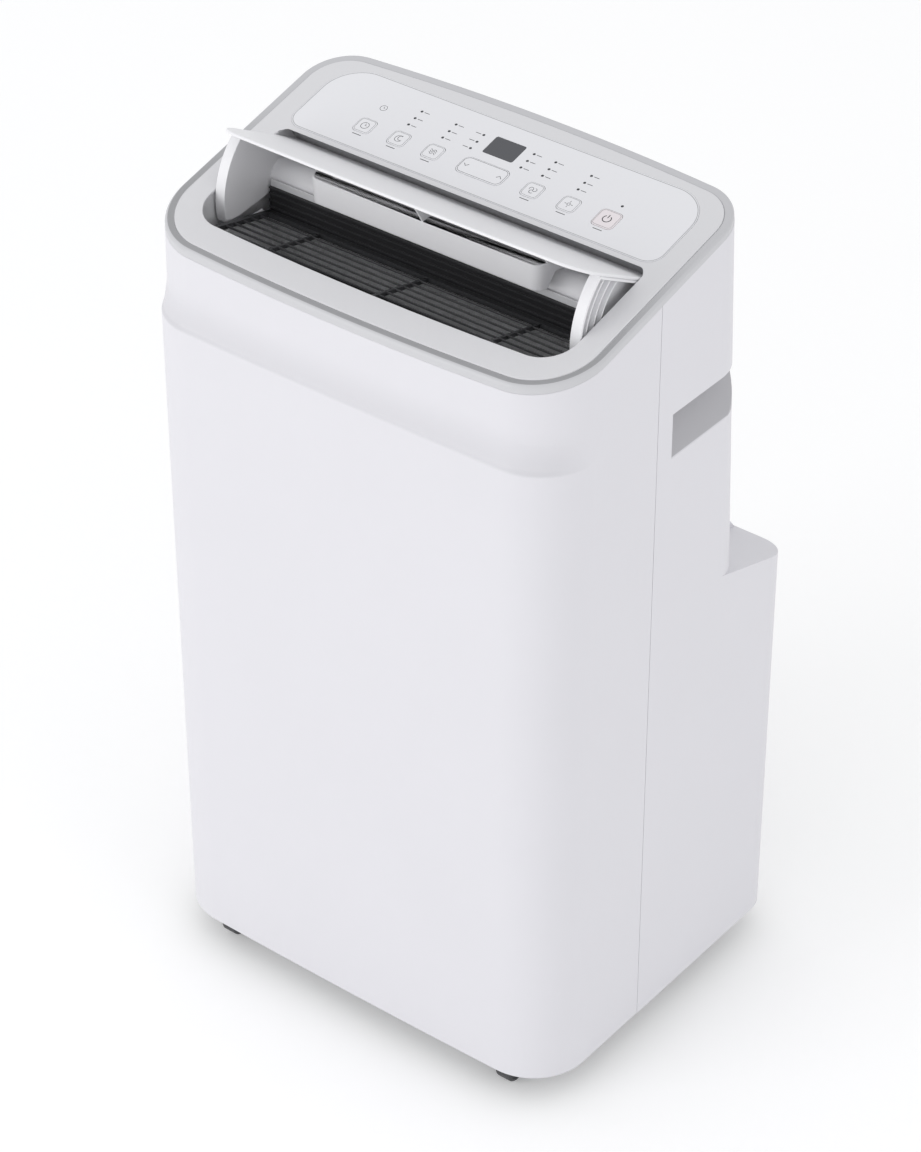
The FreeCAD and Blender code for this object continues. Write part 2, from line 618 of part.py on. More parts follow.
define(grille_gap=0.4, grille_rim=5.0, bar_width=2.0, bar_pitch=11.2, bar_count=7, stay_width=2.5,
       stay_pitch=114.0, grille_tilt=13.7, grille_length=89.4, grille_front=-136.6, grille_front_top=743.0,
       upstand_low=719.0, upstand_top=744.0, upstand_thickness=1.2, stay_inset=2.0, stay_sink=0.4)
grille = document.addObject("PartDesign::Body", "grille_bars")
frame_pad = grille.newObject("PartDesign::Pad", "grille_frame_pad")
frame_pad.Profile = polygon("grille_frame", [
    ("-duct_half + grille_gap", "0"), ("duct_half - grille_gap", "0"),
    ("duct_half - grille_gap", "grille_length"), ("-duct_half + grille_gap", "grille_length"),
], grille)
bind(frame_pad, Length="grille_thickness")
grille.Tip = frame_pad
document.recompute()
slot_sketch = polygon("grille_slot", [
    ("-duct_half + grille_rim", "grille_rim"),
    ("duct_half - grille_rim", "grille_rim"),
    ("duct_half - grille_rim", "grille_rim + bar_pitch - bar_width"),
    ("-duct_half + grille_rim", "grille_rim + bar_pitch - bar_width"),
], grille)
slot = grille.newObject("PartDesign::Pocket", "grille_slot_pocket")
slot.Profile = slot_sketch
slot.Type = "ThroughAll"
slot.Reversed = True
document.recompute()
slots = grille.newObject("PartDesign::LinearPattern", "grille_slots")
slots.Originals = [slot]
slots.Direction = (slot_sketch, ["V_Axis"])
bind(slots, Length="bar_pitch * bar_count - bar_pitch", Occurrences="bar_count")
grille.Tip = slots
stays = [span(f"grille_stay_{n}",
              (f"{n - 1} * stay_pitch - stay_width / 2", f"{n - 1} * stay_pitch + stay_width / 2"),
              ("stay_inset", "grille_length - stay_inset"), ("stay_sink", "grille_thickness - stay_sink"))
         for n in range(3)]
sloping = fuse("grille_sloping", grille, *stays)
place(sloping, 0, "grille_front - grille_thickness * sin(grille_tilt)",
      "grille_front_top - grille_thickness * cos(grille_tilt)", axis=(1, 0, 0), angle="-grille_tilt")
upstand = span("grille_upstand", ("-duct_half + grille_gap", "duct_half - grille_gap"),
               ("fin_front - grille_gap - upstand_thickness", "fin_front - grille_gap"),
               ("upstand_low", "upstand_top"))
sub_part(group("outlet_grille", [sloping, upstand]), "outlet_grille")

# ---------------------------------------------------------------- louver

define(
    louver_opening=42.66, plate_half=187.0, plate_front=-102.3, plate_back=19.0, plate_top=28.7,
    plate_thickness=3.0, plate_bow=3440.0, plate_front_corner=29.0, plate_back_corner=7.0,
    rim_radius=73.4, cheek_inner=177.0, cheek_outer=187.0, cheek_web=2.0, cheek_wall=2.2, pin_radius=3.0,
    hub_radius=8.0, tube_radius=15.0, tube_wall=2.0, blade_half=119.0, rib_thickness=2.0, arc_wall=1.4,
    blade_lean=30.96, blade_height=23.3, blade_wall=2.0, blade_reach=20.0, blade_depth=12.0,
    blade_foot_y=-34.0, blade_foot_z=-9.0, arm_pitch=90.0, arm_half=4.0,
)


def on_louver(thing):
    """Hang a piece drawn about the pivot in its open, resting place."""
    return place(thing, 0, "pivot_y", "pivot_z", axis=(1, 0, 0), angle="deck_angle - louver_opening")


plate_sketch = outline("plate_outline", "plate_half", "plate_front", "plate_back",
                       ("plate_front_corner", "plate_back_corner"), ("plate_bow", None),
                       "plate_top - plate_thickness")
louver_plate = on_louver(group("louver_plate", [extrusion("plate_prism", plate_sketch, "plate_thickness")]))
sub_part(louver_plate, "louver_plate")

PLATE_UNDER = "plate_top - plate_thickness"


def cheek(name, side):
    """An end cheek: a hollow sector box with a rim, a web and ribs, open on its outer side."""
    low, high = (("cheek_inner", "cheek_outer"), ("-cheek_outer", "-cheek_inner"))[side < 0]
    sector = [("14", PLATE_UNDER), ("-80", PLATE_UNDER), ("-80", "-50"), ("-60", "-52"), ("-38.4", "-40.2"),
              ("-2", "-14")]
    inside = [("10.5", f"{PLATE_UNDER} - cheek_wall"), ("-80", f"{PLATE_UNDER} - cheek_wall"), ("-80", "-47"),
              ("-60", "-49.4"), ("-39", "-37.4"), ("-4.4", "-12.4")]
    hollow_low, hollow_high = ((f"{low} + cheek_web", f"{high} + 1"),
                               (f"{low} - 1", f"{high} - cheek_web"))[side < 0]
    disc = cylinder(f"{name}_disc", (low, "0", "0"), "rim_radius", "cheek_outer - cheek_inner", "X")
    body = common(f"{name}_body", side_profile(f"{name}_sector", sector, low, high), disc)
    core = cylinder(f"{name}_core", (hollow_low, "0", "0"), "rim_radius - cheek_wall",
                    f"({hollow_high}) - ({hollow_low})", "X")
    void = common(f"{name}_void", side_profile(f"{name}_inside", inside, hollow_low, hollow_high), core)
    ribs = []
    for number, radius in enumerate(("rim_radius - 8", "rim_radius - 17", "rim_radius - 26")):
        outside = cylinder(f"{name}_arc_outside_{number}", (f"{low} + 1", "0", "0"), radius,
                           "cheek_outer - cheek_inner - 2", "X")
        within = cylinder(f"{name}_arc_within_{number}", (low, "0", "0"), f"{radius} - arc_wall",
                          "cheek_outer - cheek_inner", "X")
        limit = side_profile(f"{name}_arc_limit_{number}", sector, low, high)
        ribs.append(common(f"{name}_arc_{number}", cut(f"{name}_arc_ring_{number}", outside, within), limit))
    hub = cylinder(f"{name}_hub", (low, "0", "0"), "hub_radius", "cheek_outer - cheek_inner", "X")
    return fuse(f"{name}_whole", cut(f"{name}_box", body, void), hub, *ribs)


cheeks = [cheek("cheek_right", 1), cheek("cheek_left", -1)]
blade_outside = cap("blade_outside", "blade_half", "blade_reach", 10.0, "0", "blade_reach", "0",
                    "blade_height")
blade_inside = cap("blade_inside", "blade_half - blade_wall", "blade_reach - blade_wall", 8.0, "0",
                   "blade_reach",
                   "-1", "blade_height + 1")
blade_rest = span("blade_rest", ("-far_out", "far_out"), ("blade_depth", "far_out"), ("-far_out", "far_out"))
blade = place(cut("blade", blade_outside, blade_inside, blade_rest), 0, "blade_foot_y", "blade_foot_z",
              axis=(1, 0, 0), angle="blade_lean")
RIB_BACK = [("4", PLATE_UNDER), ("4", "0"), ("-4", "0"), ("-8", "14.5")]
MIDDLE_RIB = [("-70", PLATE_UNDER), *RIB_BACK, ("-24", "10.5"), ("-29", "-6"), ("-33.14", "-8.49"),
              ("-44.72", "10.8")]
END_RIB = [("-60", PLATE_UNDER), *RIB_BACK, ("-22", "10.5"), ("-25.08", "-2.48"), ("-36.04", "15.78")]
louver_ribs = []
for number, profile in enumerate((END_RIB, MIDDLE_RIB, END_RIB)):
    middle = f"{number - 1} * (blade_half - rib_thickness / 2)"
    louver_ribs.append(side_profile(f"louver_rib_{number}", profile, f"{middle} - rib_thickness / 2",
                                    f"{middle} + rib_thickness / 2"))
torque_tube = cylinder("torque_tube", ("-cheek_inner", "0", "0"), "tube_radius", "2 * cheek_inner", "X")
tube_arms = [side_profile(f"tube_arm_{n}", [("-arm_half", "0"), ("arm_half", "0"), ("arm_half", PLATE_UNDER),
                                            ("-arm_half", PLATE_UNDER)],
                          f"{n - 1} * arm_pitch - 1", f"{n - 1} * arm_pitch + 1") for n in range(3)]
frame_blank = fuse("louver_frame_blank", *cheeks, blade, *louver_ribs, torque_tube, *tube_arms)
tube_bore = cylinder("tube_bore", ("-cheek_inner - 2", "0", "0"), "tube_radius - tube_wall",
                     "2 * cheek_inner + 4", "X")
pin_bore = cylinder("cheek_bore", ("-far_out", "0", "0"), "pin_radius", "2 * far_out", "X")
tube_hollow = cut("tube_hollow", tube_bore, *[
    cylinder(f"hub_keep_{n}", (low, "0", "0"), "tube_radius", "12", "X")
    for n, low in enumerate(("cheek_inner", "-cheek_inner - 12"))])
sub_part(on_louver(cut("louver_frame", frame_blank, tube_hollow, pin_bore)), "louver_frame")
pins = [cylinder(f"louver_pin_{n}", (low, "pivot_y", "pivot_z"), "pin_radius", "13.4", "X")
        for n, low in enumerate(("179.1", "-192.5"))]
sub_part(group("louver_pins", pins), "louver_pins")
define(louver_motor_radius=12.0, louver_motor_length=15.0)
sub_part(cylinder("louver_motor", ("well_half + 1", "pivot_y", "pivot_z"), "louver_motor_radius",
                  "louver_motor_length", "X"), "louver_motor")

# ---------------------------------------------------------------- evaporator side

define(
    blower_y=-92.0, blower_z=555.0, blower_radius=82.0, blower_width=58.0, blower_blade=14.0,
    shaft_radius=4.0, shaft_gap=0.05, scroll_chamber=92.5, scroll_wall=2.5,
    scroll_top=651.0, coil_half=165.0, coil_front=59.0, coil_depth=24.0, coil_low=452.0, coil_high=705.0,
    tray_low=428.0, tray_height=20.0, tray_half=172.0, tray_front=-151.0, tray_back=87.0, tray_wall=2.5,
)


def fan_wheel(label, radius, width, blades, y, z, shaft_ahead):
    """A centrifugal wheel on its shaft: back plate, rim ring, hub and a ring of flat blades."""
    body = turned(label, [
        ("0", "-({0})".format(shaft_ahead)), ("shaft_radius", "-({0})".format(shaft_ahead)),
        ("shaft_radius", "-1"),
        (f"({radius})", "-1"), (f"({radius})", "1.5"), ("14", "1.5"), ("12", "16"), ("0", "16"),
    ])
    blade_sketch = polygon(f"{label}_blade_sketch", [
        (f"({radius}) - blower_blade", "-0.8"), (f"({radius}) - 0.5", "3.2"), (f"({radius}) - 0.5", "5"),
        (f"({radius}) - blower_blade", "1"),
    ], body)
    document.recompute()
    blade_pad = body.newObject("PartDesign::Pad", f"{label}_blade_pad")
    blade_pad.Profile = blade_sketch
    bind(blade_pad, Length=width)
    document.recompute()
    ring = body.newObject("PartDesign::PolarPattern", f"{label}_blades")
    ring.Originals = [blade_pad]
    ring.Axis = (blade_sketch, ["N_Axis"])
    ring.Angle = 360
    ring.Occurrences = blades
    body.Tip = ring
    place(body, 0, y, z, axis=(1, 0, 0), angle=-90)
    return sub_part(body, label)


def scroll(label, y, z, chamber, depth, top, outlet_x, front_hole, rear_hole):
    """A blower housing: a round chamber with one upright outlet, an inlet behind, a hole for the hub."""
    shells = []
    for stage, grow in (("outside", "scroll_wall"), ("inside", "0")):
        low = f"({y}) - ({grow})"
        long_way = f"({depth}) + 2 * ({grow})"
        drum = cylinder(f"{label}_{stage}_drum", ("0", low, z), f"({chamber}) + ({grow})", long_way, "Y")
        rise = f"({top}) - ({z})" if stage == "outside" else f"({top}) - ({z}) + 5"
        neck = box(f"{label}_{stage}_neck", (f"-({grow})", low, z),
                   (f"({outlet_x}) + 2 * ({grow})", long_way, rise))
        shells.append(fuse(f"{label}_{stage}", drum, neck))
    hub_hole = cylinder(f"{label}_hub_hole", ("0", f"({y}) - 20", z), front_hole, "30", "Y")
    inlet = cylinder(f"{label}_inlet", ("0", f"({y}) + ({depth}) - 5", z), rear_hole, "30", "Y")
    return sub_part(cut(label, shells[0], shells[1], hub_hole, inlet), label)


def motor(label, y, z, radius, length):
    """A round motor with a running bore for the wheel's shaft."""
    can = cylinder(f"{label}_can", ("0", y, z), radius, length, "Y")
    bore = cylinder(f"{label}_bore", ("0", f"({y}) - 10", z), "shaft_radius + shaft_gap", f"({length}) + 20",
                    "Y")
    return sub_part(cut(label, can, bore), label)


fan_wheel("blower_wheel", "blower_radius", "blower_width", 24, "blower_y - 29", "blower_z", "38")
scroll("blower_scroll", "blower_y - 32.5", "blower_z", "scroll_chamber", "65", "scroll_top", "92.5", "12",
       "70")
motor("blower_motor", "blower_y - 72", "blower_z", "40", "35")

duct_sections = []
for stage, inset in (("outer", "0"), ("inner", "2")):
    foot = polygon(f"duct_{stage}_foot", [
        (f"-scroll_wall + {inset}", f"blower_y - 35 + {inset}"),
        (f"95 - {inset}", f"blower_y - 35 + {inset}"),
        (f"95 - {inset}", f"blower_y + 35 - {inset}"), (f"-scroll_wall + {inset}",
                                                        f"blower_y + 35 - {inset}"),
    ])
    place(foot, 0, 0, "scroll_top")
    mouth = polygon(f"duct_{stage}_mouth", [
        (f"-duct_half + {inset}", f"duct_front + {inset}"), (f"duct_half - {inset}", f"duct_front + {inset}"),
        (f"duct_half - {inset}", f"fin_front - {inset}"), (f"-duct_half + {inset}", f"fin_front - {inset}"),
    ])
    place(mouth, 0, 0, "well_low")
    duct_sections.append(loft(f"duct_{stage}", foot, mouth))
sub_part(cut("outlet_duct", *duct_sections), "outlet_duct")

sub_part(span("evaporator_coil", ("-coil_half", "coil_half"), ("coil_front", "coil_front + coil_depth"),
              ("coil_low", "coil_high")), "evaporator_coil")

tray_floor = span("tray_floor", ("-half_width + 3", "half_width - 3"), ("-115", "tray_back"),
                  ("tray_low", "tray_low + tray_wall"))
tray_block = span("tray_block", ("-tray_half", "tray_half"), ("tray_front", "tray_back"),
                  ("tray_low", "tray_low + tray_height"))
tray_inside = span("tray_inside", ("-tray_half + tray_wall", "tray_half - tray_wall"),
                   ("tray_front + tray_wall", "tray_back - tray_wall"),
                   ("tray_low + tray_wall", "tray_low + 40"))
notches = [span(f"pipe_notch_{n}", (low, high), ("54", "tray_back + 5"), ("tray_low - 5", "tray_low + 60"))
           for n, (low, high) in enumerate((("176", "206"), ("-206", "-176")))]
sub_part(cut("drip_tray", fuse("tray_blank", tray_floor, tray_block), tray_inside, *notches), "drip_tray")

# ---------------------------------------------------------------- condenser side

define(
    exhaust_wheel_radius=74.0, exhaust_wheel_width=58.0, exhaust_fan_y=100.0, exhaust_fan_z=160.0,
    exhaust_chamber=88.0, exhaust_scroll_top=251.0, duct_box_half=74.0, duct_box_low=251.0,
    duct_box_high=399.0, duct_box_front=60.0, duct_box_back=147.5, duct_box_wall=2.0,
    condenser_half=172.0, condenser_front=142.0, condenser_depth=22.0, condenser_low=54.0,
    condenser_high=242.0,
    compressor_x=-95.0, compressor_y=-50.0, compressor_radius=55.0, compressor_low=50.0,
    compressor_high=250.0,
)
fan_wheel("exhaust_wheel", "exhaust_wheel_radius", "exhaust_wheel_width", 20, "exhaust_fan_y - 31",
          "exhaust_fan_z", "38")
scroll("exhaust_scroll", "exhaust_fan_y - 36", "exhaust_fan_z", "exhaust_chamber", "72", "exhaust_scroll_top",
       "70", "12", "66")
motor("exhaust_motor", "exhaust_fan_y - 77", "exhaust_fan_z", "38", "36")

duct_outside = span("exhaust_duct_outside", ("-duct_box_half", "duct_box_half"),
                    ("duct_box_front", "duct_box_back"), ("duct_box_low", "duct_box_high"))
duct_inside = span("exhaust_duct_inside", ("-duct_box_half + duct_box_wall", "duct_box_half - duct_box_wall"),
                   ("duct_box_front + duct_box_wall", "duct_box_back - duct_box_wall"),
                   ("duct_box_low + duct_box_wall", "duct_box_high - duct_box_wall"))
duct_inlet = span("exhaust_duct_inlet", ("1", "69"), ("exhaust_fan_y - 34", "exhaust_fan_y + 34"),
                  ("duct_box_low - 5", "duct_box_low + 5"))
duct_outlet = cylinder("exhaust_duct_outlet", ("0", "duct_box_back - 10", "exhaust_height"),
                       "exhaust_radius + 1", "20", "Y")
sub_part(cut("exhaust_duct", duct_outside, duct_inside, duct_inlet, duct_outlet), "exhaust_duct")

collar = turned("exhaust_collar", [
    ("exhaust_radius", "0"), ("exhaust_radius + exhaust_wall", "0"),
    ("exhaust_radius + exhaust_wall", "lower_back - duct_box_back - 2.5"),
    ("exhaust_flange", "lower_back - duct_box_back - 2.5"), ("exhaust_flange", "lower_back - duct_box_back"),
    ("exhaust_radius", "lower_back - duct_box_back"),
], "exhaust_collar")
place(collar, 0, "duct_box_back", "exhaust_height", axis=(1, 0, 0), angle=-90)

sub_part(span("condenser_coil", ("-condenser_half", "condenser_half"),
              ("condenser_front", "condenser_front + condenser_depth"), ("condenser_low", "condenser_high")),
         "condenser_coil")

compressor_can = turned("compressor_can", [
    ("0", "compressor_low"), ("compressor_radius - 10", "compressor_low"),
    ("compressor_radius", "compressor_low + 10"),
    ("compressor_radius", "compressor_high - 18"), ("compressor_radius - 14", "compressor_high - 4"),
    ("compressor_radius - 34", "compressor_high"), ("0", "compressor_high"),
])
place(compressor_can, "compressor_x", "compressor_y", 0)
define(foot_reach=68.0, foot_half=13.0, foot_low=43.0, foot_thickness=3.0, grommet_radius=9.0)
feet = []
grommets = []
for number in range(3):
    angle = 30 + 120 * number
    foot = box(f"compressor_foot_{number}", ("0", "0", "0"),
               ("foot_reach + foot_half", "2 * foot_half", "foot_thickness"))
    place(foot, f"compressor_x + foot_half * sin({angle})", f"compressor_y - foot_half * cos({angle})",
          "foot_low",
          axis=(0, 0, 1), angle=angle)
    feet.append(foot)
    grommets.append(cylinder(f"grommet_{number}", (f"compressor_x + foot_reach * cos({angle})",
                                                   f"compressor_y + foot_reach * sin({angle})", "31"),
                             "grommet_radius", "foot_low - 31"))
foot_web = cylinder("compressor_foot_web", ("compressor_x", "compressor_y", "foot_low"), "30",
                    "compressor_low - foot_low + 5")
sub_part(fuse("compressor", compressor_can, *feet, foot_web), "compressor")
sub_part(group("compressor_mounts", grommets), "compressor_mounts")

# ---------------------------------------------------------------- refrigerant pipes

define(pipe_bend=14.0, suction_radius=6.0, discharge_radius=4.0, liquid_radius=4.0)


def pipe(label, route, radius):
    """A tube along straight runs joined by round bends, swept in one piece."""
    points = [FreeCAD.Vector(*[value(c) for c in point]) for point in route]
    bend = value("pipe_bend")
    edges = []
    start = points[0]
    for before, corner, after in zip(points, points[1:], points[2:]):
        arriving = (corner - before).normalize()
        leaving = (after - corner).normalize()
        arc_start = corner - arriving * bend
        arc_end = corner + leaving * bend
        middle = corner + (leaving - arriving) * (bend * (1 - math.sqrt(0.5)))
        edges.append(Part.LineSegment(start, arc_start).toShape())
        edges.append(Part.Arc(arc_start, middle, arc_end).toShape())
        start = arc_end
    edges.append(Part.LineSegment(start, points[-1]).toShape())
    path = Part.Wire(edges)
    section = Part.Wire([Part.Circle(points[0], points[1] - points[0], value(radius)).toShape()])
    tube = document.addObject("Part::Feature", label)
    tube.Shape = path.makePipeShell([section], True, False)
    return sub_part(tube, label)


pipe("suction_pipe", [
    ("-coil_half", "72", "470"), ("-186", "72", "470"), ("-186", "72", "200"),
    ("-186", "compressor_y", "200"),
    ("compressor_x - compressor_radius", "compressor_y", "200"),
], "suction_radius")
pipe("discharge_pipe", [
    ("compressor_x", "compressor_y", "compressor_high"), ("compressor_x", "compressor_y", "285"),
    ("-203", "compressor_y", "285"), ("-203", "153", "285"), ("-203", "153", "230"),
    ("-condenser_half", "153", "230"),
], "discharge_radius")
pipe("liquid_pipe", [
    ("condenser_half", "153", "225"), ("195", "153", "225"), ("195", "72", "225"), ("195", "72", "470"),
    ("coil_half", "72", "470"),
], "liquid_radius")

# ---------------------------------------------------------------- base pan and water system

define(
    pan_half=214.7, pan_front=-169.2, pan_back=172.2, pan_front_corner=52.0, pan_back_corner=27.2,
    pan_floor=3.0, pan_rim_top=45.0, pan_wall=3.0, caster_x=160.0, front_caster_y=-137.0, rear_caster_y=137.0,
    cup_radius=20.0, cup_wall=2.5, cup_top=34.0, stem_hole=6.0,
)
pan_sketch = outline("pan_outline", "pan_half", "pan_front", "pan_back",
                     ("pan_front_corner", "pan_back_corner"), (None, None), "underside_height")
pan_inner = outline("pan_inner", "pan_half", "pan_front", "pan_back",
                    ("pan_front_corner", "pan_back_corner"), (None, None), "underside_height + pan_floor",
                    "pan_wall")
pan_dish = cut("pan_dish", extrusion("pan_block", pan_sketch, "pan_rim_top - underside_height"),
               extrusion("pan_hollow", pan_inner, "60"))
CASTERS = (("front_left", "-caster_x", "front_caster_y"), ("front_right", "caster_x", "front_caster_y"),
           ("rear_left", "-caster_x", "rear_caster_y"), ("rear_right", "caster_x", "rear_caster_y"))
cups = [cylinder(f"cup_{n}", (x, y, "underside_height"), "cup_radius + cup_wall",
                 "cup_top + cup_wall - underside_height") for n, x, y in CASTERS]
cup_hollows = [cylinder(f"cup_hollow_{n}", (x, y, "0"), "cup_radius", "cup_top") for n, x, y in CASTERS]
stem_holes = [cylinder(f"stem_hole_{n}", (x, y, "0"), "stem_hole", "100") for n, x, y in CASTERS]
drain_notch = cylinder("drain_notch", ("0", "140", "lower_drain_height"), "drain_boss + 0.3", "60", "Y")
sub_part(cut("base_pan", fuse("pan_with_cups", pan_dish, *cups), *cup_hollows, *stem_holes, drain_notch),
         "base_pan")

define(splash_x=104.0, splash_z=53.0, splash_radius=18.0, splash_y=121.0, splash_width=8.0)
splash = turned("splash_wheel", [
    ("0", "-14"), ("2", "-14"), ("2", "0"), ("splash_radius - 4", "0"), ("splash_radius - 4", "2"),
    ("0", "2"),
])
paddle_sketch = polygon("paddle_sketch", [("6", "-1"), ("splash_radius", "-1"), ("splash_radius", "1"),
                                          ("6", "1")], splash)
document.recompute()
paddle_pad = splash.newObject("PartDesign::Pad", "paddle_pad")
paddle_pad.Profile = paddle_sketch
bind(paddle_pad, Length="splash_width")
document.recompute()
paddles = splash.newObject("PartDesign::PolarPattern", "paddles")
paddles.Originals = [paddle_pad]
paddles.Axis = (paddle_sketch, ["N_Axis"])
paddles.Angle = 360
paddles.Occurrences = 8
splash.Tip = paddles
place(splash, "splash_x", "splash_y", "splash_z", axis=(1, 0, 0), angle=-90)
sub_part(splash, "splash_wheel")
splash_can = cylinder("splash_can", ("splash_x", "splash_y - 30", "splash_z"), "13", "26", "Y")
splash_bore = cylinder("splash_bore", ("splash_x", "splash_y - 40", "splash_z"), "2 + shaft_gap", "60", "Y")
splash_leg = span("splash_leg", ("splash_x - 6", "splash_x + 6"), ("splash_y - 28", "splash_y - 8"),
                  ("31", "splash_z - 4"))
sub_part(cut("splash_motor", fuse("splash_motor_blank", splash_can, splash_leg), splash_bore), "splash_motor")

# ---------------------------------------------------------------- electrics

define(case_low_x=60.0, case_high_x=190.0, case_front=-146.0, case_back=-50.0, case_low=300.0,
       case_high=427.5,
       case_wall=2.0)
case_block = span("case_block", ("case_low_x", "case_high_x"), ("case_front", "case_back"),
                  ("case_low", "case_high"))
case_inside = span("case_inside", ("case_low_x + case_wall", "case_high_x - case_wall"),
                   ("case_front - 5", "case_back - case_wall"),
                   ("case_low + case_wall", "case_high - case_wall"))
sub_part(cut("electrical_box", case_block, case_inside), "electrical_box")
board_plate = span("power_plate", ("case_low_x + 8", "case_high_x - 8"), ("case_back - 12", "case_back - 10"),
                   ("case_low + 8", "case_high - 8"))
board_blocks = [span(f"power_block_{n}", (f"case_low_x + {14 + 36 * n}", f"case_low_x + {38 + 36 * n}"),
                     ("case_back - 30", "case_back - 11"), ("case_low + 20", f"case_low + {46 + 12 * n}"))
                for n in range(3)]
posts = [cylinder(f"board_post_{n}", (f"case_low_x + {14 + 102 * n}", "case_back - 11", "case_low + 100"),
                  "3", "9", "Y")
         for n in range(2)]
sub_part(fuse("power_board", board_plate, *board_blocks, *posts), "power_board")
sub_part(cylinder("capacitor", ("case_low_x + 24", "case_back - 60", "case_low + case_wall"), "17.5", "72"),
         "capacitor")

# ---------------------------------------------------------------- filters

define(filter_border=9.0, filter_bar_height=3.0, filter_bar_depth=5.0, mesh_thickness=1.0)


def filter_cassette(which, half, height, depth, bars, face_y, low_z, lean):
    """A pull-out filter: a bordered frame of level bars with a finger tab, and the mesh behind it."""
    blank = box(f"{which}_filter_blank", (f"-({half})", f"-({depth})", "0"), (f"2 * ({half})", depth, height))
    window = box(f"{which}_filter_window", (f"-({half}) + filter_border", "-40", "filter_border"),
                 (f"2 * ({half}) - 2 * filter_border", "80", f"({height}) - 2 * filter_border"))
    pieces = [cut(f"{which}_filter_border", blank, window)]
    for number in range(bars):
        level = f"filter_border + ({height} - 2 * filter_border) * {number + 1} / {bars + 1} - filter_bar_height / 2"
        pieces.append(box(f"{which}_bar_{number}", (f"-({half}) + filter_border - 1", "-filter_bar_depth",
                                                    level),
                          (f"2 * ({half}) - 2 * filter_border + 2", "filter_bar_depth - 0.6",
                           "filter_bar_height")))
    for number, x in enumerate(("-55", "55")):
        pieces.append(box(f"{which}_stay_{number}", (f"{x} - 2", "-filter_bar_depth", "filter_border - 1"),
                          ("4", "filter_bar_depth - 1", f"({height}) - 2 * filter_border + 2")))
    pieces.append(box(f"{which}_tab", ("-22", "-3", f"({height}) - filter_border - 14"), ("44", "4.4", "15")))
    turn = dict(axis=(1, 0, 0), angle=lean)
    frame = place(fuse(f"{which}_filter_frame", *pieces), 0, face_y, low_z, **turn)
    sub_part(frame, f"{which}_filter_frame")
    mesh = box(f"{which}_mesh_sheet", (f"-({half}) + filter_border + 0.1", f"-({depth}) + 0.5",
                                       "filter_border + 0.1"),
               (f"2 * ({half}) - 2 * filter_border - 0.2", "mesh_thickness",
                f"({height}) - 2 * filter_border - 0.2"))
    sub_part(place(group(f"{which}_filter_mesh", [mesh]), 0, face_y, low_z, **turn), f"{which}_filter_mesh")


filter_cassette("upper", "upper_filter_half", "upper_filter_height", "upper_filter_depth", 18,
                "upper_filter_face", "upper_filter_low", "back_lean")
filter_cassette("lower", "lower_filter_half", "lower_filter_height", "upper_filter_depth", 13,
                "lower_filter_face", "lower_filter_low", "0")

# ---------------------------------------------------------------- plugs, bushing and screws

for which, x, z in DRAINS:
    plug = turned(f"{which}_drain_plug", [
        ("0", "0"), ("drain_radius - 0.7", "0"), ("drain_radius - 0.3", "3"), ("drain_radius - 0.3", "18.2"),
        ("drain_boss + 0.5", "18.2"), ("drain_boss + 0.5", "19.6"), ("drain_boss - 1", "20"), ("0", "20"),
    ], f"{which}_drain_plug")
    place(plug, x, "lower_back - 18", z, axis=(1, 0, 0), angle=-90)

bushing = turned("cord_bushing", [
    ("4", "-8"), ("bushing_radius", "-8"), ("bushing_radius", "0"), ("11", "0"), ("11", "1.2"), ("10", "2"),
    ("4", "2"),
], "cord_bushing")
place(bushing, "-bushing_x", "lower_back", "bushing_height", axis=(1, 0, 0), angle=-90)

screws = []
for number, (x, y, z) in enumerate(SCREWS):
    shank = cylinder(f"screw_shank_{number}", (x, f"{y} - screw_length", z), "screw_shank",
                     "screw_length + 1", "Y")
    head = cylinder(f"screw_head_{number}", (x, f"{y} + 0.3", z), "screw_head", "screw_head_height - 0.3",
                    "Y")
    screws.append(fuse(f"screw_{number}", shank, head))
sub_part(group("case_screws", screws), "case_screws")

# ---------------------------------------------------------------- casters

define(wheel_radius=13.0, wheel_half=8.0, axle_radius=2.5, caster_trail=-9.0, fork_gap=8.5, fork_cheek=2.5,
       fork_top=33.0, fork_disc=14.0, stem_radius=5.95)


def caster(where, x, y):
    """A swivel caster: a fork with its stem and axle, and a wheel running on the axle."""
    disc = cylinder(f"disc_{where}", ("0", "0", "fork_top - 4"), "fork_disc", "4")
    stem = cylinder(f"stem_{where}", ("0", "0", "fork_top - 1"), "stem_radius", "9")
    clip = cylinder(f"clip_{where}", ("0", "0", "cup_top + cup_wall + 0.3"), "stem_hole + 2", "2.2")
    pieces = [disc, stem, clip]
    for side, low in (("left", "-fork_gap - fork_cheek"), ("right", "fork_gap")):
        pieces.append(side_profile(f"fork_{side}_{where}", [
            ("caster_trail", "fork_top - 2"), ("caster_trail - 6", "wheel_radius + 2"),
            ("caster_trail - 4", "wheel_radius - 4"), ("caster_trail + 4", "wheel_radius - 4"),
            ("-caster_trail", "fork_top - 2"),
        ], low, f"{low} + fork_cheek"))
    pieces.append(cylinder(f"axle_{where}", ("-fork_gap - fork_cheek", "caster_trail", "wheel_radius"),
                           "axle_radius",
                           "2 * fork_gap + 2 * fork_cheek", "X"))
    fork = place(fuse(f"caster_fork_{where}", *pieces), x, y, 0)
    sub_part(fork, f"caster_fork_{where}")
    wheel = turned(f"caster_wheel_{where}", [
        ("axle_radius + 0.05", "-wheel_half"), ("wheel_radius - 2", "-wheel_half"),
        ("wheel_radius", "-wheel_half + 2"),
        ("wheel_radius", "wheel_half - 2"), ("wheel_radius - 2", "wheel_half"),
        ("axle_radius + 0.05", "wheel_half"),
    ], f"caster_wheel_{where}")
    place(wheel, x, f"({y}) + caster_trail", "wheel_radius", axis=(0, 1, 0), angle=90)


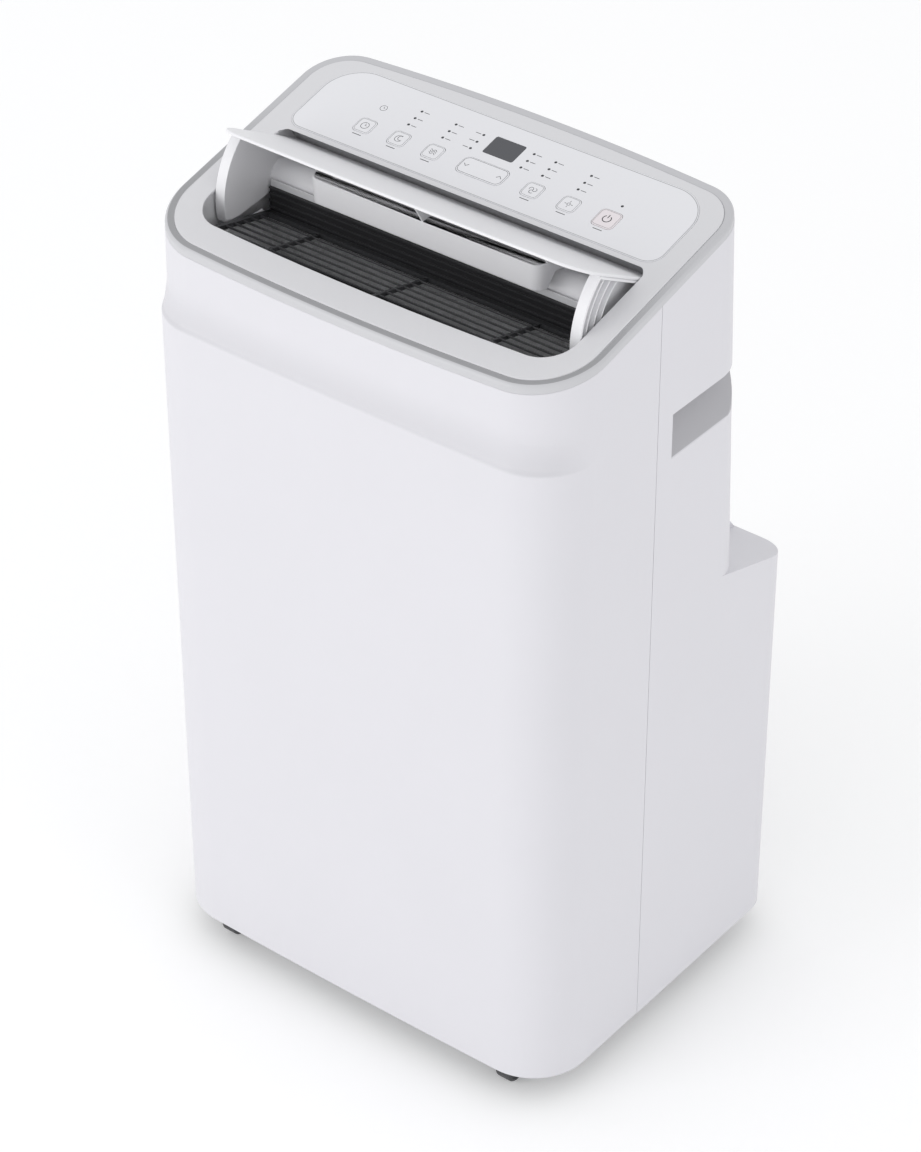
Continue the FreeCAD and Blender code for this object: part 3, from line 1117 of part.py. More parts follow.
for where, x, y in CASTERS:
    caster(where, x, y)

# ---------------------------------------------------------------- checks and export

document.recompute()
for thing in document.Objects:
    if "Invalid" in thing.State or "Error" in thing.State:
        raise RuntimeError(f"{thing.Name} failed: {thing.State}")
for thing in sub_parts:
    if thing.Shape.isNull() or not thing.Shape.isValid():
        raise RuntimeError(f"{thing.Label} has no valid shape")
os.makedirs("parts", exist_ok=True)
for thing in sub_parts:
    thing.Shape.exportStep(f"parts/{thing.Label}.step")
whole = Part.makeCompound([thing.Shape for thing in sub_parts]).BoundBox
print(len(sub_parts), "sub-parts", [round(n, 2) for n in (whole.XMin, whole.XMax, whole.YMin, whole.YMax,
                                                       whole.ZMin, whole.ZMax)])
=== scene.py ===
# %% [markdown]
# # A portable air conditioner, cell by cell
# The object is a tall white cabinet on four casters. Air leaves through a flap in its sloping top,
# and a strip of soft keys lies behind the flap. This lesson dresses a finished CAD model: the CAD
# gives every place and size, and Blender gives the surfaces and finishes that the eye sees.
# The first cell loads the CAD model.

# %% Load the frame
import json
import math
import bmesh
import bpy
import numpy as np
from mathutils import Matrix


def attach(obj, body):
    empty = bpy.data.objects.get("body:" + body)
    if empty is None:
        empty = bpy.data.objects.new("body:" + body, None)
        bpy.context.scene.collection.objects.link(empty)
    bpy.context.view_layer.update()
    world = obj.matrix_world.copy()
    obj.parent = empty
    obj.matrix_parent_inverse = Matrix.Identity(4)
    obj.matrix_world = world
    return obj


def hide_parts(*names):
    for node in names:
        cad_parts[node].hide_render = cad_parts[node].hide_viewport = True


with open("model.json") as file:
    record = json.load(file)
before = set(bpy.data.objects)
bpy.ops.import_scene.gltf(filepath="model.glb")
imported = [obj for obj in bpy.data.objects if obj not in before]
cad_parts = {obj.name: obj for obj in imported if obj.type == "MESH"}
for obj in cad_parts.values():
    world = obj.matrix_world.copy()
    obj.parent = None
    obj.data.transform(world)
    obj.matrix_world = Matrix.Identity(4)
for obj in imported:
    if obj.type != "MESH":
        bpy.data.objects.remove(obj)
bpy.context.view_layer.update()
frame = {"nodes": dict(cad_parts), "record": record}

slot_of = {row["node"]: row["material_slot"] for row in frame["record"]["subparts"]}

# %% [markdown]
# ## Camera, light and floor
# A product shot of a white object is a question of grey levels. A bright, nearly even surround keeps
# every face pale, and one large soft lamp in front and to the left makes the front face a little
# brighter than the side. The floor is a pale sheet, lifted with a trace of glow as a lit table is.

# %% Camera
AZIMUTH = math.radians(38.03)
ELEVATION = math.radians(35.68)
camera = bpy.data.objects.new("camera", bpy.data.cameras.new("camera"))
camera.location = (1.631, -2.0994, 2.3017)
camera.rotation_euler = (math.pi / 2 - ELEVATION, 0, AZIMUTH)
camera.data.sensor_width = 36
camera.data.lens = 117.15
bpy.context.scene.collection.objects.link(camera)
bpy.context.scene.camera = camera
print("camera", [round(v, 3) for v in camera.location])

# %% Surround and lamps
world = bpy.data.worlds.new("surround")
world.use_nodes = True
world.node_tree.nodes["Background"].inputs["Color"].default_value = (0.985, 0.99, 1.0, 1)
world.node_tree.nodes["Background"].inputs["Strength"].default_value = 0.90
bpy.context.scene.world = world
bpy.context.scene.view_settings.view_transform = "Standard"


def soft_lamp(name, place, size, watts):
    """A square area lamp that faces the foot of the object."""
    lamp = bpy.data.objects.new(name, bpy.data.lights.new(name, "AREA"))
    lamp.data.size = size
    lamp.data.energy = watts
    lamp.location = place
    lamp.rotation_euler = lamp.location.to_track_quat("Z", "Y").to_euler()
    bpy.context.scene.collection.objects.link(lamp)


soft_lamp("front_lamp", (-1.6, -3.4, 1.3), 2.2, 36)
soft_lamp("right_lamp", (3.2, -0.6, 1.4), 1.8, 9)
print("lamps", [light.name for light in bpy.data.lights])

# %% [markdown]
# ## Shader sums
# A finish is easier to read as a sum than as a web of boxes. The class below wraps one socket, so
# that `1 - speckle` or `grain * 0.5` adds the Math node for us. Every other node comes from one
# method, which sets the node's choices first and fills its sockets second.


# %% The socket class
class Flow:
    """A shader socket that does arithmetic: each sign adds one Math node."""

    def __init__(self, tree, socket=None):
        self.tree = tree
        self.socket = socket

    def node(self, kind, choices=None, output=0, **fills):
        """Add a node; fills name sockets (in0 is the first), by a value or by another Flow."""
        made = self.tree.nodes.new(kind)
        for name, choice in (choices or {}).items():
            if name == "stops":
                for stop, (place, shade) in zip(made.color_ramp.elements, choice):
                    stop.position = place
                    stop.color = (*shade, 1)
            else:
                setattr(made, name, choice)
        for name, fill in fills.items():
            key = int(name[2:]) if name.startswith("in") else name.replace("_", " ")
            if isinstance(fill, Flow):
                self.tree.links.new(fill.socket, made.inputs[key])
            else:
                made.inputs[key].default_value = fill
        return Flow(self.tree, made.outputs[output])

    def math(self, operation, first, second=0.0):
        return self.node("ShaderNodeMath", {"operation": operation}, in0=first, in1=second)

    def __add__(self, other):
        return self.math("ADD", self, other)

    def __sub__(self, other):
        return self.math("SUBTRACT", self, other)

    def __rsub__(self, other):
        return self.math("SUBTRACT", other, self)

    def __mul__(self, other):
        return self.math("MULTIPLY", self, other)

    __radd__ = __add__
    __rmul__ = __mul__


print("a Flow has", len([name for name in vars(Flow) if not name.startswith("__")]), "named methods")

# %% [markdown]
# ## Moulded plastic
# Nearly everything here is injection-moulded. Such plastic is never one flat colour: the tone drifts
# a little over a hand's width, the spark-eroded mould leaves a fine grain, and the gloss changes
# where the grain is worn or the plastic cooled slowly. Three noises at three sizes give all that,
# on Object coordinates, so the grain keeps its real size in millimetres on every part. Two finishes
# also carry painted shade: the shape alone leaves the grips, the hollow above the front's edge and
# the trim's top stripe too light, so their colour is darkened by position as a stand-in for shade.


# %% Finishes of plastic
# How far painted shade darkens a colour, as a share of it.
DARKEST_PAINTED_SHADE = 0.62


def shade_of(colour, factor):
    """A colour made lighter or darker, with its alpha."""
    return tuple(min(1.0, channel * factor) for channel in colour) + (1.0,)


def new_finish(name):
    """An empty material: the material, its shader, and the Object coordinates as a Flow."""
    material = bpy.data.materials.new(name)
    material.use_nodes = True
    tree = material.node_tree
    place = Flow(tree).node("ShaderNodeTexCoord", output="Object")
    return material, tree.nodes["Principled BSDF"], place


def noise(place, size, detail=2.0):
    """Noise whose lumps are about size metres across, from 0 to 1."""
    return place.node("ShaderNodeTexNoise", Vector=place, Scale=1.0 / size, Detail=detail)


def mixed(factor, first, second):
    """A colour that goes from the first to the second as the factor goes from 0 to 1."""
    return factor.node("ShaderNodeMix", {"data_type": "RGBA"}, output=2, in0=factor, in6=first, in7=second)


def raised(height, depth):
    """A normal for a surface whose height, from 0 to 1, stands for depth metres."""
    return height.node("ShaderNodeBump", Strength=1.0, Distance=depth, Height=height)


def joined(shader, **links):
    """Link flows to the shader's sockets."""
    for name, flow in links.items():
        flow.tree.links.new(flow.socket, shader.inputs[name.replace("_", " ")])


def ramp(value, start, end):
    """0 up to start, 1 from end on, a smooth step between; start may be above end."""
    return value.node("ShaderNodeMapRange", {"interpolation_type": "SMOOTHSTEP"},
                      Value=value, From_Min=start, From_Max=end)


def painted_hollow_shade(place):
    """Painted shade, not dirt: full in the two side grips, a quarter above the front's soft edge."""
    x, y, z = [place.node("ShaderNodeSeparateXYZ", output=axis, Vector=place) for axis in "XYZ"]
    aside = place.math("ABSOLUTE", x)
    above_edge = ramp(z, 0.6645, 0.6675) * ramp(z, 0.708, 0.670) * ramp(y, -0.125, -0.160)
    across = ramp(aside, 0.2172, 0.2166) * ramp(aside, 0.186, 0.190)
    grip = across * ramp(z, 0.6135, 0.6145) * ramp(z, 0.6575, 0.6565) * ramp(y, -0.0165, -0.0155)
    return above_edge * 0.26 + grip


def trim_painted_shade(place):
    """Painted shade on the trim: full on its level top face, and stronger towards the front."""
    y = place.node("ShaderNodeSeparateXYZ", output="Y", Vector=place)
    normal = place.node("ShaderNodeNewGeometry", output="Normal")
    upward = place.node("ShaderNodeSeparateXYZ", output="Z", Vector=normal)
    return ramp(upward, 0.91, 0.95) * ramp(y, 0.03, -0.13)


def moulded(name, colour, roughness, drift=0.015, grain=0.00003, gloss_drift=0.08, painted=None):
    """Moulded plastic: colour = base x (1 +- drift), roughness +- half gloss_drift, grain as bump.

    painted is a function of place, from 0 to 1, that says where painted shade darkens the colour, at most to
    its darkest share.
    """
    material, shader, place = new_finish(name)
    slow = noise(place, 0.11)
    middle = noise(place, 0.013, 4.0)
    tone = mixed(slow, shade_of(colour, 1 - drift), shade_of(colour, 1 + drift))
    # Where painted is given, painted shade darkens the colour by position.
    joined(
        shader,
        Base_Color=mixed(painted(place), tone, shade_of(colour, DARKEST_PAINTED_SHADE)) if painted else tone,
        Roughness=(slow + middle - 1) * gloss_drift + roughness,
        Normal=raised(noise(place, 0.0009) + middle * 0.4, grain),
    )
    return material


finishes = {
    # shell_white carries painted shade in the two grips and above the front's edge.
    "shell_white": moulded("shell_white", (0.672, 0.665, 0.698), 0.42, painted=painted_hollow_shade),
    "cover_white": moulded("cover_white", (0.690, 0.688, 0.706), 0.45),
    "louver_white": moulded("louver_white", (0.800, 0.798, 0.816), 0.40),
    "well_white": moulded("well_white", (0.700, 0.702, 0.716), 0.50),
    "overlay_white": moulded("overlay_white", (0.790, 0.790, 0.815), 0.34, drift=0.008, grain=0.00001),
    "key_white": moulded("key_white", (0.810, 0.810, 0.835), 0.36, drift=0.008, grain=0.00001),
    "power_tint": moulded("power_tint", (0.820, 0.765, 0.785), 0.36, drift=0.008, grain=0.00001),
    "pin_white": moulded("pin_white", (0.70, 0.70, 0.71), 0.35),
    # trim_grey carries painted shade on its level top, stronger towards the front.
    "trim_grey": moulded("trim_grey", (0.540, 0.540, 0.558), 0.36, painted=trim_painted_shade),
    "grille_black": moulded("grille_black", (0.042, 0.043, 0.046), 0.40),
    "collar_grey": moulded("collar_grey", (0.420, 0.425, 0.435), 0.46),
    "tray_grey": moulded("tray_grey", (0.250, 0.254, 0.262), 0.55),
    "fan_black": moulded("fan_black", (0.022, 0.022, 0.024), 0.42),
    "rubber_black": moulded("rubber_black", (0.030, 0.030, 0.031), 0.75, grain=0.00006),
    "wheel_grey": moulded("wheel_grey", (0.055, 0.056, 0.060), 0.55, grain=0.00005),
    "fork_dark": moulded("fork_dark", (0.045, 0.046, 0.050), 0.42),
    "compressor_black": moulded("compressor_black", (0.018, 0.018, 0.019), 0.30, grain=0.00006),
    "display_dark": moulded("display_dark", (0.075, 0.077, 0.086), 0.30, grain=0.000004),
    "light_dark": moulded("light_dark", (0.035, 0.036, 0.042), 0.20, grain=0.000004),
    "duct_foam": moulded("duct_foam", (0.016, 0.016, 0.017), 0.85, drift=0.05, grain=0.0004),
}
print(len(finishes), "plastics")

# %% [markdown]
# ## Metals, board and mesh
# Inside are sheet steel, a copper circuit and two finned coils. Metal needs the Metallic socket at 1
# and a roughness that drifts, because handled and drawn metal is never evenly bright. The coils and
# the dust mesh have patterns of their own: stripes or a lattice from a sine of the position, with
# the period in metres. The dark between the fins and between the wires is painted shade.


# %% Finishes of metal and pattern
def metal(name, colour, roughness, drift=0.06, scratch=0.00002):
    """Bare metal: brighter and duller patches, and a fine drawn texture."""
    material, shader, place = new_finish(name)
    shader.inputs["Metallic"].default_value = 1.0
    slow = noise(place, 0.04)
    fine = noise(place, 0.0015, 6.0)
    joined(
        shader,
        Base_Color=mixed(slow, shade_of(colour, 1 - drift), shade_of(colour, 1 + drift)),
        Roughness=fine * 0.16 + roughness - 0.08,
        Normal=raised(fine, scratch),
    )
    return material


def wave(place, axis, period):
    """A smooth stripe along one axis: (1 + sin(2 pi position / period)) / 2."""
    part = place.node("ShaderNodeSeparateXYZ", output=axis, Vector=place)
    return place.math("SINE", part * (2 * math.pi / period)) * 0.5 + 0.5


def striped(name, dark, light, roughness, metallic, axis, period, depth):
    """Thin fins or wires side by side: light crests of the metal, and dark gaps that are painted shade."""
    material, shader, place = new_finish(name)
    shader.inputs["Metallic"].default_value = metallic
    stripe = wave(place, axis, period)
    joined(
        shader,
        Base_Color=mixed(stripe, (*dark, 1), (*light, 1)),
        Roughness=noise(place, 0.006) * 0.12 + roughness,
        Normal=raised(stripe, depth),
    )
    return material


def woven(name, dark, light, roughness, period, depth):
    """A dust mesh: wires across and along, the higher of the two on top; the dark between the wires is
    painted shade.
    """
    material, shader, place = new_finish(name)
    across = wave(place, "X", period)
    along = wave(place, "Z", period)
    wires = place.math("POWER", place.math("MAXIMUM", across, along), 3.0)
    joined(
        shader,
        Base_Color=mixed(wires, (*dark, 1), (*light, 1)),
        Roughness=noise(place, 0.01) * 0.10 + roughness,
        Normal=raised(wires, depth),
    )
    return material


def etched_board(name):
    """A green board: copper tracks under the lacquer as a faint Voronoi net."""
    material, shader, place = new_finish(name)
    net = place.node("ShaderNodeTexVoronoi", {"feature": "DISTANCE_TO_EDGE"}, Vector=place, Scale=260.0)
    track = place.math("LESS_THAN", net, 0.09)
    joined(
        shader,
        Base_Color=mixed(track, (0.012, 0.10, 0.035, 1), (0.05, 0.22, 0.08, 1)),
        Roughness=noise(place, 0.004) * 0.15 + 0.30,
        Normal=raised(track, 0.00003),
    )
    return material


finishes.update({
    "motor_steel": metal("motor_steel", (0.52, 0.52, 0.53), 0.34),
    "case_steel": metal("case_steel", (0.60, 0.61, 0.62), 0.30),
    "screw_steel": metal("screw_steel", (0.50, 0.50, 0.50), 0.26),
    "capacitor_silver": metal("capacitor_silver", (0.72, 0.72, 0.73), 0.24),
    "pipe_copper": metal("pipe_copper", (0.72, 0.36, 0.22), 0.28, drift=0.18),
    # The coil's light stripes are its fins; the dark stripes between them are painted shade.
    "coil_aluminium": striped("coil_aluminium", (0.10, 0.10, 0.11), (0.72, 0.73, 0.75), 0.36, 0.9,
                              "X", 0.0018, 0.0004),
    # The mesh's grey is its wires; the dark between them is painted shade.
    "mesh_grey": woven("mesh_grey", (0.03, 0.031, 0.034), (0.30, 0.305, 0.32), 0.50, 0.0024, 0.0003),
    "board_green": etched_board("board_green"),
})
missing = sorted(set(slot_of.values()) - set(finishes))
for node, thing in frame["nodes"].items():
    for place in thing.material_slots:
        place.material = finishes[slot_of[node]]
print("CAD nodes painted; slots without a finish:", missing)

# %% [markdown]
# ## From a grid of points to a piece
# Each new piece starts as a grid of points in millimetres: one index runs along a profile, the other
# along a path. These helpers close the grid, cap its ends, turn it the right way out and hang it on
# its body. The sign of the enclosed volume tells whether the faces point outwards.


# %% Mesh helpers
MILLIMETRE = 0.001


def grid_faces(rows, columns, close_rows=False, close_columns=True):
    """Quads between neighbours of a grid, with its last row or column joined to its first."""
    number = np.arange(rows * columns).reshape(rows, columns)
    if close_rows:
        number = np.vstack([number, number[:1]])
    if close_columns:
        number = np.hstack([number, number[:, :1]])
    quads = np.stack([number[:-1, :-1], number[1:, :-1], number[1:, 1:], number[:-1, 1:]], axis=-1)
    return quads.reshape(-1, 4).tolist()


def signed_volume(points, faces):
    """Six times the enclosed volume, from a fan of triangles on each face."""
    total = 0.0
    sizes = {}
    for face in faces:
        sizes.setdefault(len(face), []).append(face)
    for same in sizes.values():
        corners = points[np.array(same)]
        first = corners[:, :1]
        total += np.einsum("ijk,ijk->", first.repeat(corners.shape[1] - 2, 1),
                           np.cross(corners[:, 1:-1], corners[:, 2:]))
    return total


def hung(thing, body, slot, replaced=()):
    """Paint a finished object, hang it on its body and hide the CAD parts it stands for."""
    thing.data.materials.clear()
    thing.data.materials.append(finishes[slot])
    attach(thing, body)
    if replaced:
        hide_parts(*replaced)
    return thing


def shown(name, mesh, body, slot, replaced=(), sharp=38.0):
    """An object from a mesh, smooth but for its sharp edges."""
    thing = bpy.data.objects.new(name, mesh)
    bpy.context.scene.collection.objects.link(thing)
    mesh.shade_smooth()
    mesh.set_sharp_from_angle(angle=math.radians(sharp))
    weighted = thing.modifiers.new("weighted", "WEIGHTED_NORMAL")
    weighted.keep_sharp = True
    return hung(thing, body, slot, replaced)


def piece(name, solids, body, slot, replaced=(), sharp=38.0):
    """One object from closed solids, each a pair of points in millimetres and faces."""
    points = []
    faces = []
    for solid_points, solid_faces in solids:
        flat = np.asarray(solid_points, float).reshape(-1, 3)
        if signed_volume(flat, solid_faces) < 0:
            solid_faces = [face[::-1] for face in solid_faces]
        start = sum(len(block) for block in points)
        faces += [[start + corner for corner in face] for face in solid_faces]
        points.append(flat)
    mesh = bpy.data.meshes.new(name)
    mesh.from_pydata((np.vstack(points) * MILLIMETRE).tolist(), [], faces)
    thing = shown(name, mesh, body, slot, replaced, sharp)
    print(name, len(mesh.polygons), "faces")
    return thing


def tube(points):
    """A grid closed round its columns, with a face over each end row."""
    rows, columns = points.shape[:2]
    ends = [list(range(columns)), list(range((rows - 1) * columns, rows * columns))]
    return points, grid_faces(rows, columns) + ends


def ring(points):
    """A grid closed both ways."""
    return points, grid_faces(*points.shape[:2], close_rows=True)


# %% [markdown]
# ## The cabinet's plan
# Seen from above the cabinet is a rounded rectangle whose front and back are slightly bowed. Half of
# one end is a small corner arc followed by a large flat arc, and the two meet without a kink: the
# corner's centre lies on the line from the bow's centre to the point where they touch. Every point
# keeps its outward direction, so an inner wall is the same path moved inwards along it.

# %% Half an end, and the whole outline
CORNER_STEPS = 18
BOW_STEPS = 26


def half_end(half, apex, corner, bow, side):
    """Right half of one end as (rows, steps, 4) of x, y and outward x, y; side -1 is the front.

    Corner arc: centre + corner x (cos a, side sin a), a from 0 to lean. Bow arc: the same about
    the bow's centre, a from lean to 90 degrees, where tan lean = rise / run of the two centres.
    """
    apex, corner, bow = [np.atleast_1d(np.asarray(v, float))[:, None] for v in (apex, corner, bow)]
    middle = apex - side * bow
    run = half - corner
    rise = np.sqrt((bow - corner) ** 2 - run ** 2)
    lean = np.arctan2(rise, run)
    near = lean * np.linspace(0, 1, CORNER_STEPS)
    far = lean + (math.pi / 2 - lean) * np.linspace(0, 1, BOW_STEPS + 1)[1:]
    x = np.hstack([run + corner * np.cos(near), bow * np.cos(far)])
    y = np.hstack([middle + side * (rise + corner * np.sin(near)), middle + side * bow * np.sin(far)])
    angle = np.hstack([near, far])
    return np.stack([x, y, np.cos(angle), side * np.sin(angle)], axis=-1)


def mirrored(path):
    """The same run on the other side of the middle, from the middle outwards."""
    return path[:, ::-1][:, 1:] * np.array([-1, 1, -1, 1])


def whole_outline(half, front, back):
    """A closed outline from the (apex, corner, bow) of its two ends."""
    ahead = half_end(half, *front, -1)
    behind = half_end(half, *back, 1)
    left = mirrored(ahead)
    rear = np.concatenate([behind[:, :-1] * np.array([-1, 1, -1, 1]), behind[:, ::-1]], axis=1)
    return np.concatenate([ahead, left, rear], axis=1)


DECK_HEIGHT = 784.31
DECK_ANGLE = math.radians(13.64)


def deck_level(y, above=0.0):
    """Height of the sloping deck plane at y, or of a plane some way square above it."""
    return DECK_HEIGHT + np.tan(DECK_ANGLE) * y + above / math.cos(DECK_ANGLE)


CROWN_FRONT = (-173.9, 60.5, 2816.0)
CROWN_BACK = (95.7, 43.4, 2451.0)
crown = whole_outline(217.5, CROWN_FRONT, CROWN_BACK)
print("crown outline", crown.shape[1], "points")

# %% [markdown]
# ## Front shell
# The front shell is one deep moulding: a plain lower face that stands a few millimetres proud, a
# soft edge across at two thirds of the height, and a shallow hollow above it. A list of stations
# gives the plan at certain heights. Averaging the list over a few millimetres rounds the edge, as
# the mould's own radius does. The section runs up the outside, over the rim and down the inside.

# %% Front shell
WALL = 2.5
STATIONS = np.array([
    # height, apex, corner radius, 1 / bow radius
    (20.0, -173.7, 55.0, 1 / 9000),
    (666.0, -176.9, 55.0, 1 / 9000),
    (669.5, -174.9, 55.5, 1 / 7600),
    (676.0, -174.3, 57.0, 1 / 5600),
    (690.0, -173.9, 60.0, 1 / 3400),
    (743.0, -173.9, 60.5, 1 / 2816),
    (850.0, -173.9, 60.5, 1 / 2816),
])
SEAM = -36.0
SEAM_GAP = 0.5
UNDERSIDE = 28.0


def station(height, soften=1.0):
    """Apex, corner and bow at a height: the list's straight lines, averaged over +- soften."""
    spread = np.asarray(height)[:, None] + np.linspace(-soften, soften, 9)
    apex, corner, curve = [np.interp(spread, STATIONS[:, 0], STATIONS[:, n]).mean(1) for n in (1, 2, 3)]
    return apex, corner, 1 / curve


def front_path(height):
    """The plan from the seam on the right, round the front, to the seam on the left."""
    arc = half_end(217.5, *station(height), -1)
    start = arc[:, :1]
    side = np.linspace(0, 1, 14)[None, :-1, None]
    run = np.repeat(start, side.shape[1], axis=1)
    run[..., 1:2] = SEAM - SEAM_GAP + (start[..., 1:2] - SEAM + SEAM_GAP) * side ** 1.5
    right = np.concatenate([run, arc], axis=1)
    return np.concatenate([right, mirrored(right)], axis=1)


def front_shell_grid():
    """Rows go up the outside and down the inside; columns follow the plan.

    A row is (height, inset): the inset grows to a quarter circle over each rim's last millimetre.
    """
    lift = np.array([0.0, 0.18, 0.5, 1.0])
    round_edge = 1 - np.sqrt(1 - (1 - lift) ** 2)
    heights = np.concatenate([UNDERSIDE + lift, np.linspace(60, 640, 14), np.linspace(650, 662, 4),
                              np.linspace(664, 672, 17), np.linspace(674, 696, 12), np.linspace(700, 728, 8)])
    insets = np.concatenate([round_edge, np.zeros(len(heights) - 4)])
    path = front_path(heights)
    top = deck_level(front_path(np.full(1, 735.0))[0, :, 1], -7.1)
    outer = np.concatenate([path[..., :2] - insets[:, None, None] * path[..., 2:],
                            np.repeat(heights[:, None, None], path.shape[1], 1)], axis=-1)
    last = outer[-1]
    rise = (top - last[:, 2])[None, :, None] * np.linspace(0.2, 1, 5)[:, None, None]
    climb = last[None] + np.concatenate([np.zeros(rise.shape[:2] + (2,)), rise], axis=-1)
    climb[-1, :, 2] -= 1.0
    rim = climb[-1][None].repeat(3, 0)
    rim[:, :, 2] += (1 - lift[2::-1])[:, None]
    rim[:, :, :2] -= round_edge[2::-1, None, None] * path[-1:, :, 2:]
    outside = np.concatenate([outer, climb, rim])
    inside = outside[::-1].copy()
    inside[..., :2] -= WALL * np.concatenate([path[-1:, :, 2:].repeat(8, 0), path[::-1, :, 2:]])
    return np.concatenate([outside, inside])


def open_strip(points):
    """A grid whose rows close into a section, with a face over each end of the path."""
    rows, columns = points.shape[:2]
    faces = grid_faces(rows, columns, close_rows=True, close_columns=False)
    number = np.arange(rows * columns).reshape(rows, columns)
    return points, faces + [number[:, 0].tolist(), number[:, -1].tolist()]


piece("front_shell_skin", [open_strip(front_shell_grid())], "cabinet", "shell_white",
      ["front_shell"], sharp=50)

# %% [markdown]
# ## Trim ring
# A grey ring frames the sloping deck. Its section has a crest near the outer edge, which catches the
# light as a thin bright line, and a top that falls gently towards the deck. The section is carried
# round the crown's outline: moved inwards along the outline's own normal, and up from the deck plane.

# %% Trim ring
TRIM_SECTION = np.array([
    # inset, height above the deck plane
    (0.0, -7.1), (0.0, -2.6), (0.15, -2.0), (0.6, -1.2), (1.3, -0.45), (2.0, -0.08), (2.5, 0.0), (3.0, -0.12),
    (7.2, -0.5), (7.7, -0.7), (8.0, -1.3), (8.0, -7.1),
])


def carried(section, outline):
    """Section points (inset, height) carried round a closed outline on the sloping deck."""
    inset = section[:, 0, None, None]
    flat = outline[..., :2] - inset * outline[..., 2:]
    level = deck_level(flat[..., 1], 0.0) + section[:, 1, None] / math.cos(DECK_ANGLE)
    return np.concatenate([flat, level[..., None]], axis=-1)


piece("trim_ring_moulding", [ring(carried(TRIM_SECTION, crown))], "cabinet", "trim_grey",
      ["trim_ring"], sharp=60)

# %% [markdown]
# ## Rounded copies of CAD parts
# A moulded edge always has a small radius, and that radius is what catches the light. Where the CAD
# shape is right, a copy of it is enough: its loose triangles are merged, its flat faces made whole
# again, and a Bevel modifier rounds every edge that turns by more than the limit. The rear shell
# stays as the CAD has it, because rounding its edges breaks a face at the rear ledge.


# %% Softened copies
def coordinates(mesh):
    """All points of a mesh as rows of x, y, z."""
    flat = np.empty(len(mesh.vertices) * 3)
    mesh.vertices.foreach_get("co", flat)
    return flat.reshape(-1, 3)


def softened(node, width, body="cabinet", limit=32.0):
    """A copy of a CAD node whose edges that turn by more than limit degrees are rounded.

    An arc mitre can leave the node's own box by a fraction of a millimetre, so it is clipped to it.
    """
    work = bmesh.new()
    work.from_mesh(frame["nodes"][node].data)
    bmesh.ops.remove_doubles(work, verts=work.verts, dist=2e-6)
    bmesh.ops.dissolve_limit(work, angle_limit=math.radians(0.6), verts=work.verts, edges=work.edges)
    weights = work.edges.layers.float.new("bevel_weight_edge")
    for edge in work.edges:
        if len(edge.link_faces) == 2 and edge.calc_face_angle(0) > math.radians(limit):
            edge[weights] = 1.0
    mesh = bpy.data.meshes.new(node + "_soft")
    work.to_mesh(mesh)
    work.free()
    mesh.materials.clear()
    thing = bpy.data.objects.new(node + "_work", mesh)
    bpy.context.scene.collection.objects.link(thing)
    bevel = thing.modifiers.new("bevel", "BEVEL")
    bevel.width = width * MILLIMETRE
    bevel.segments = 2
    bevel.limit_method = "WEIGHT"
    bevel.use_clamp_overlap = False
    bevel.miter_outer = "MITER_ARC"
    rounded = bpy.data.meshes.new_from_object(thing.evaluated_get(bpy.context.evaluated_depsgraph_get()))
    bpy.data.objects.remove(thing)
    points = coordinates(rounded)
    source = coordinates(frame["nodes"][node].data)
    rounded.vertices.foreach_set("co", np.clip(points, source.min(0), source.max(0)).ravel())
    print(node, len(rounded.polygons), "faces after the bevel")
    return shown(node + "_soft", rounded, body, slot_of[node], [node], sharp=60)


softened("top_cover", 0.7)
softened("outlet_well", 0.6)
softened("louver_frame", 0.45, body="louver")
softened("exhaust_collar", 0.7)
softened("base_pan", 0.8)
for filter_name in ("upper_filter", "lower_filter"):
    softened(filter_name + "_frame", 0.4, body=filter_name)
for plug in ("upper_drain_plug", "lower_drain_plug"):
    softened(plug, 0.4, body=plug)
softened("cord_bushing", 0.4)
for corner in ("front_left", "front_right", "rear_left", "rear_right"):
    softened("caster_fork_" + corner, 0.3, body="fork_" + corner)

# %% [markdown]
# ## Outlet grille
# The grille is a black frame with bars along the outlet. Each bar is a small blade with a rounded
# crest, so that light catches the crest and the gap beside it stays dark. Behind the bars stands a
# low wall with four thin ribs; the wall is given a darker black than the bars, as painted shade.

# %% Grille bars and frame
GRILLE_FRONT_Y = -136.6
GRILLE_FRONT_Z = 743.0
GRILLE_TILT = math.radians(-13.7)
GRILLE_HALF = 174.1
GRILLE_LENGTH = 89.3
RIM = 5.0
DEPTH = 4.0
FIRST_BAR = 15.2
BAR_PITCH = 11.2
BAR_SECTION = np.array([
    # across, height
    (-0.8, -1.8), (-0.8, -0.6), (-0.5, -0.15), (0.0, 0.0), (0.5, -0.15), (0.8, -0.6), (0.8, -1.8),
])


def on_grille(x, across, height):
    """Points from an x range and a section, laid on the sloping grille; rows follow the section."""
    x, across = np.broadcast_arrays(np.asarray(x, float)[None, :], np.asarray(across, float)[:, None])
    height = np.broadcast_to(np.asarray(height, float)[:, None], x.shape)
    flat = np.stack([x, across, height], axis=-1)
    cosine, sine = math.cos(GRILLE_TILT), math.sin(GRILLE_TILT)
    return np.stack([flat[..., 0], GRILLE_FRONT_Y + flat[..., 1] * cosine - flat[..., 2] * sine,
                     GRILLE_FRONT_Z + flat[..., 1] * sine + flat[..., 2] * cosine], axis=-1)


def beam(x_low, x_high, across_low, across_high, low, high):
    """A plain bar of the grille's frame or one of its stays."""
    across = [across_low, across_low, across_high, across_high]
    return open_strip(on_grille([x_low, x_high], across, [low, high, high, low]))


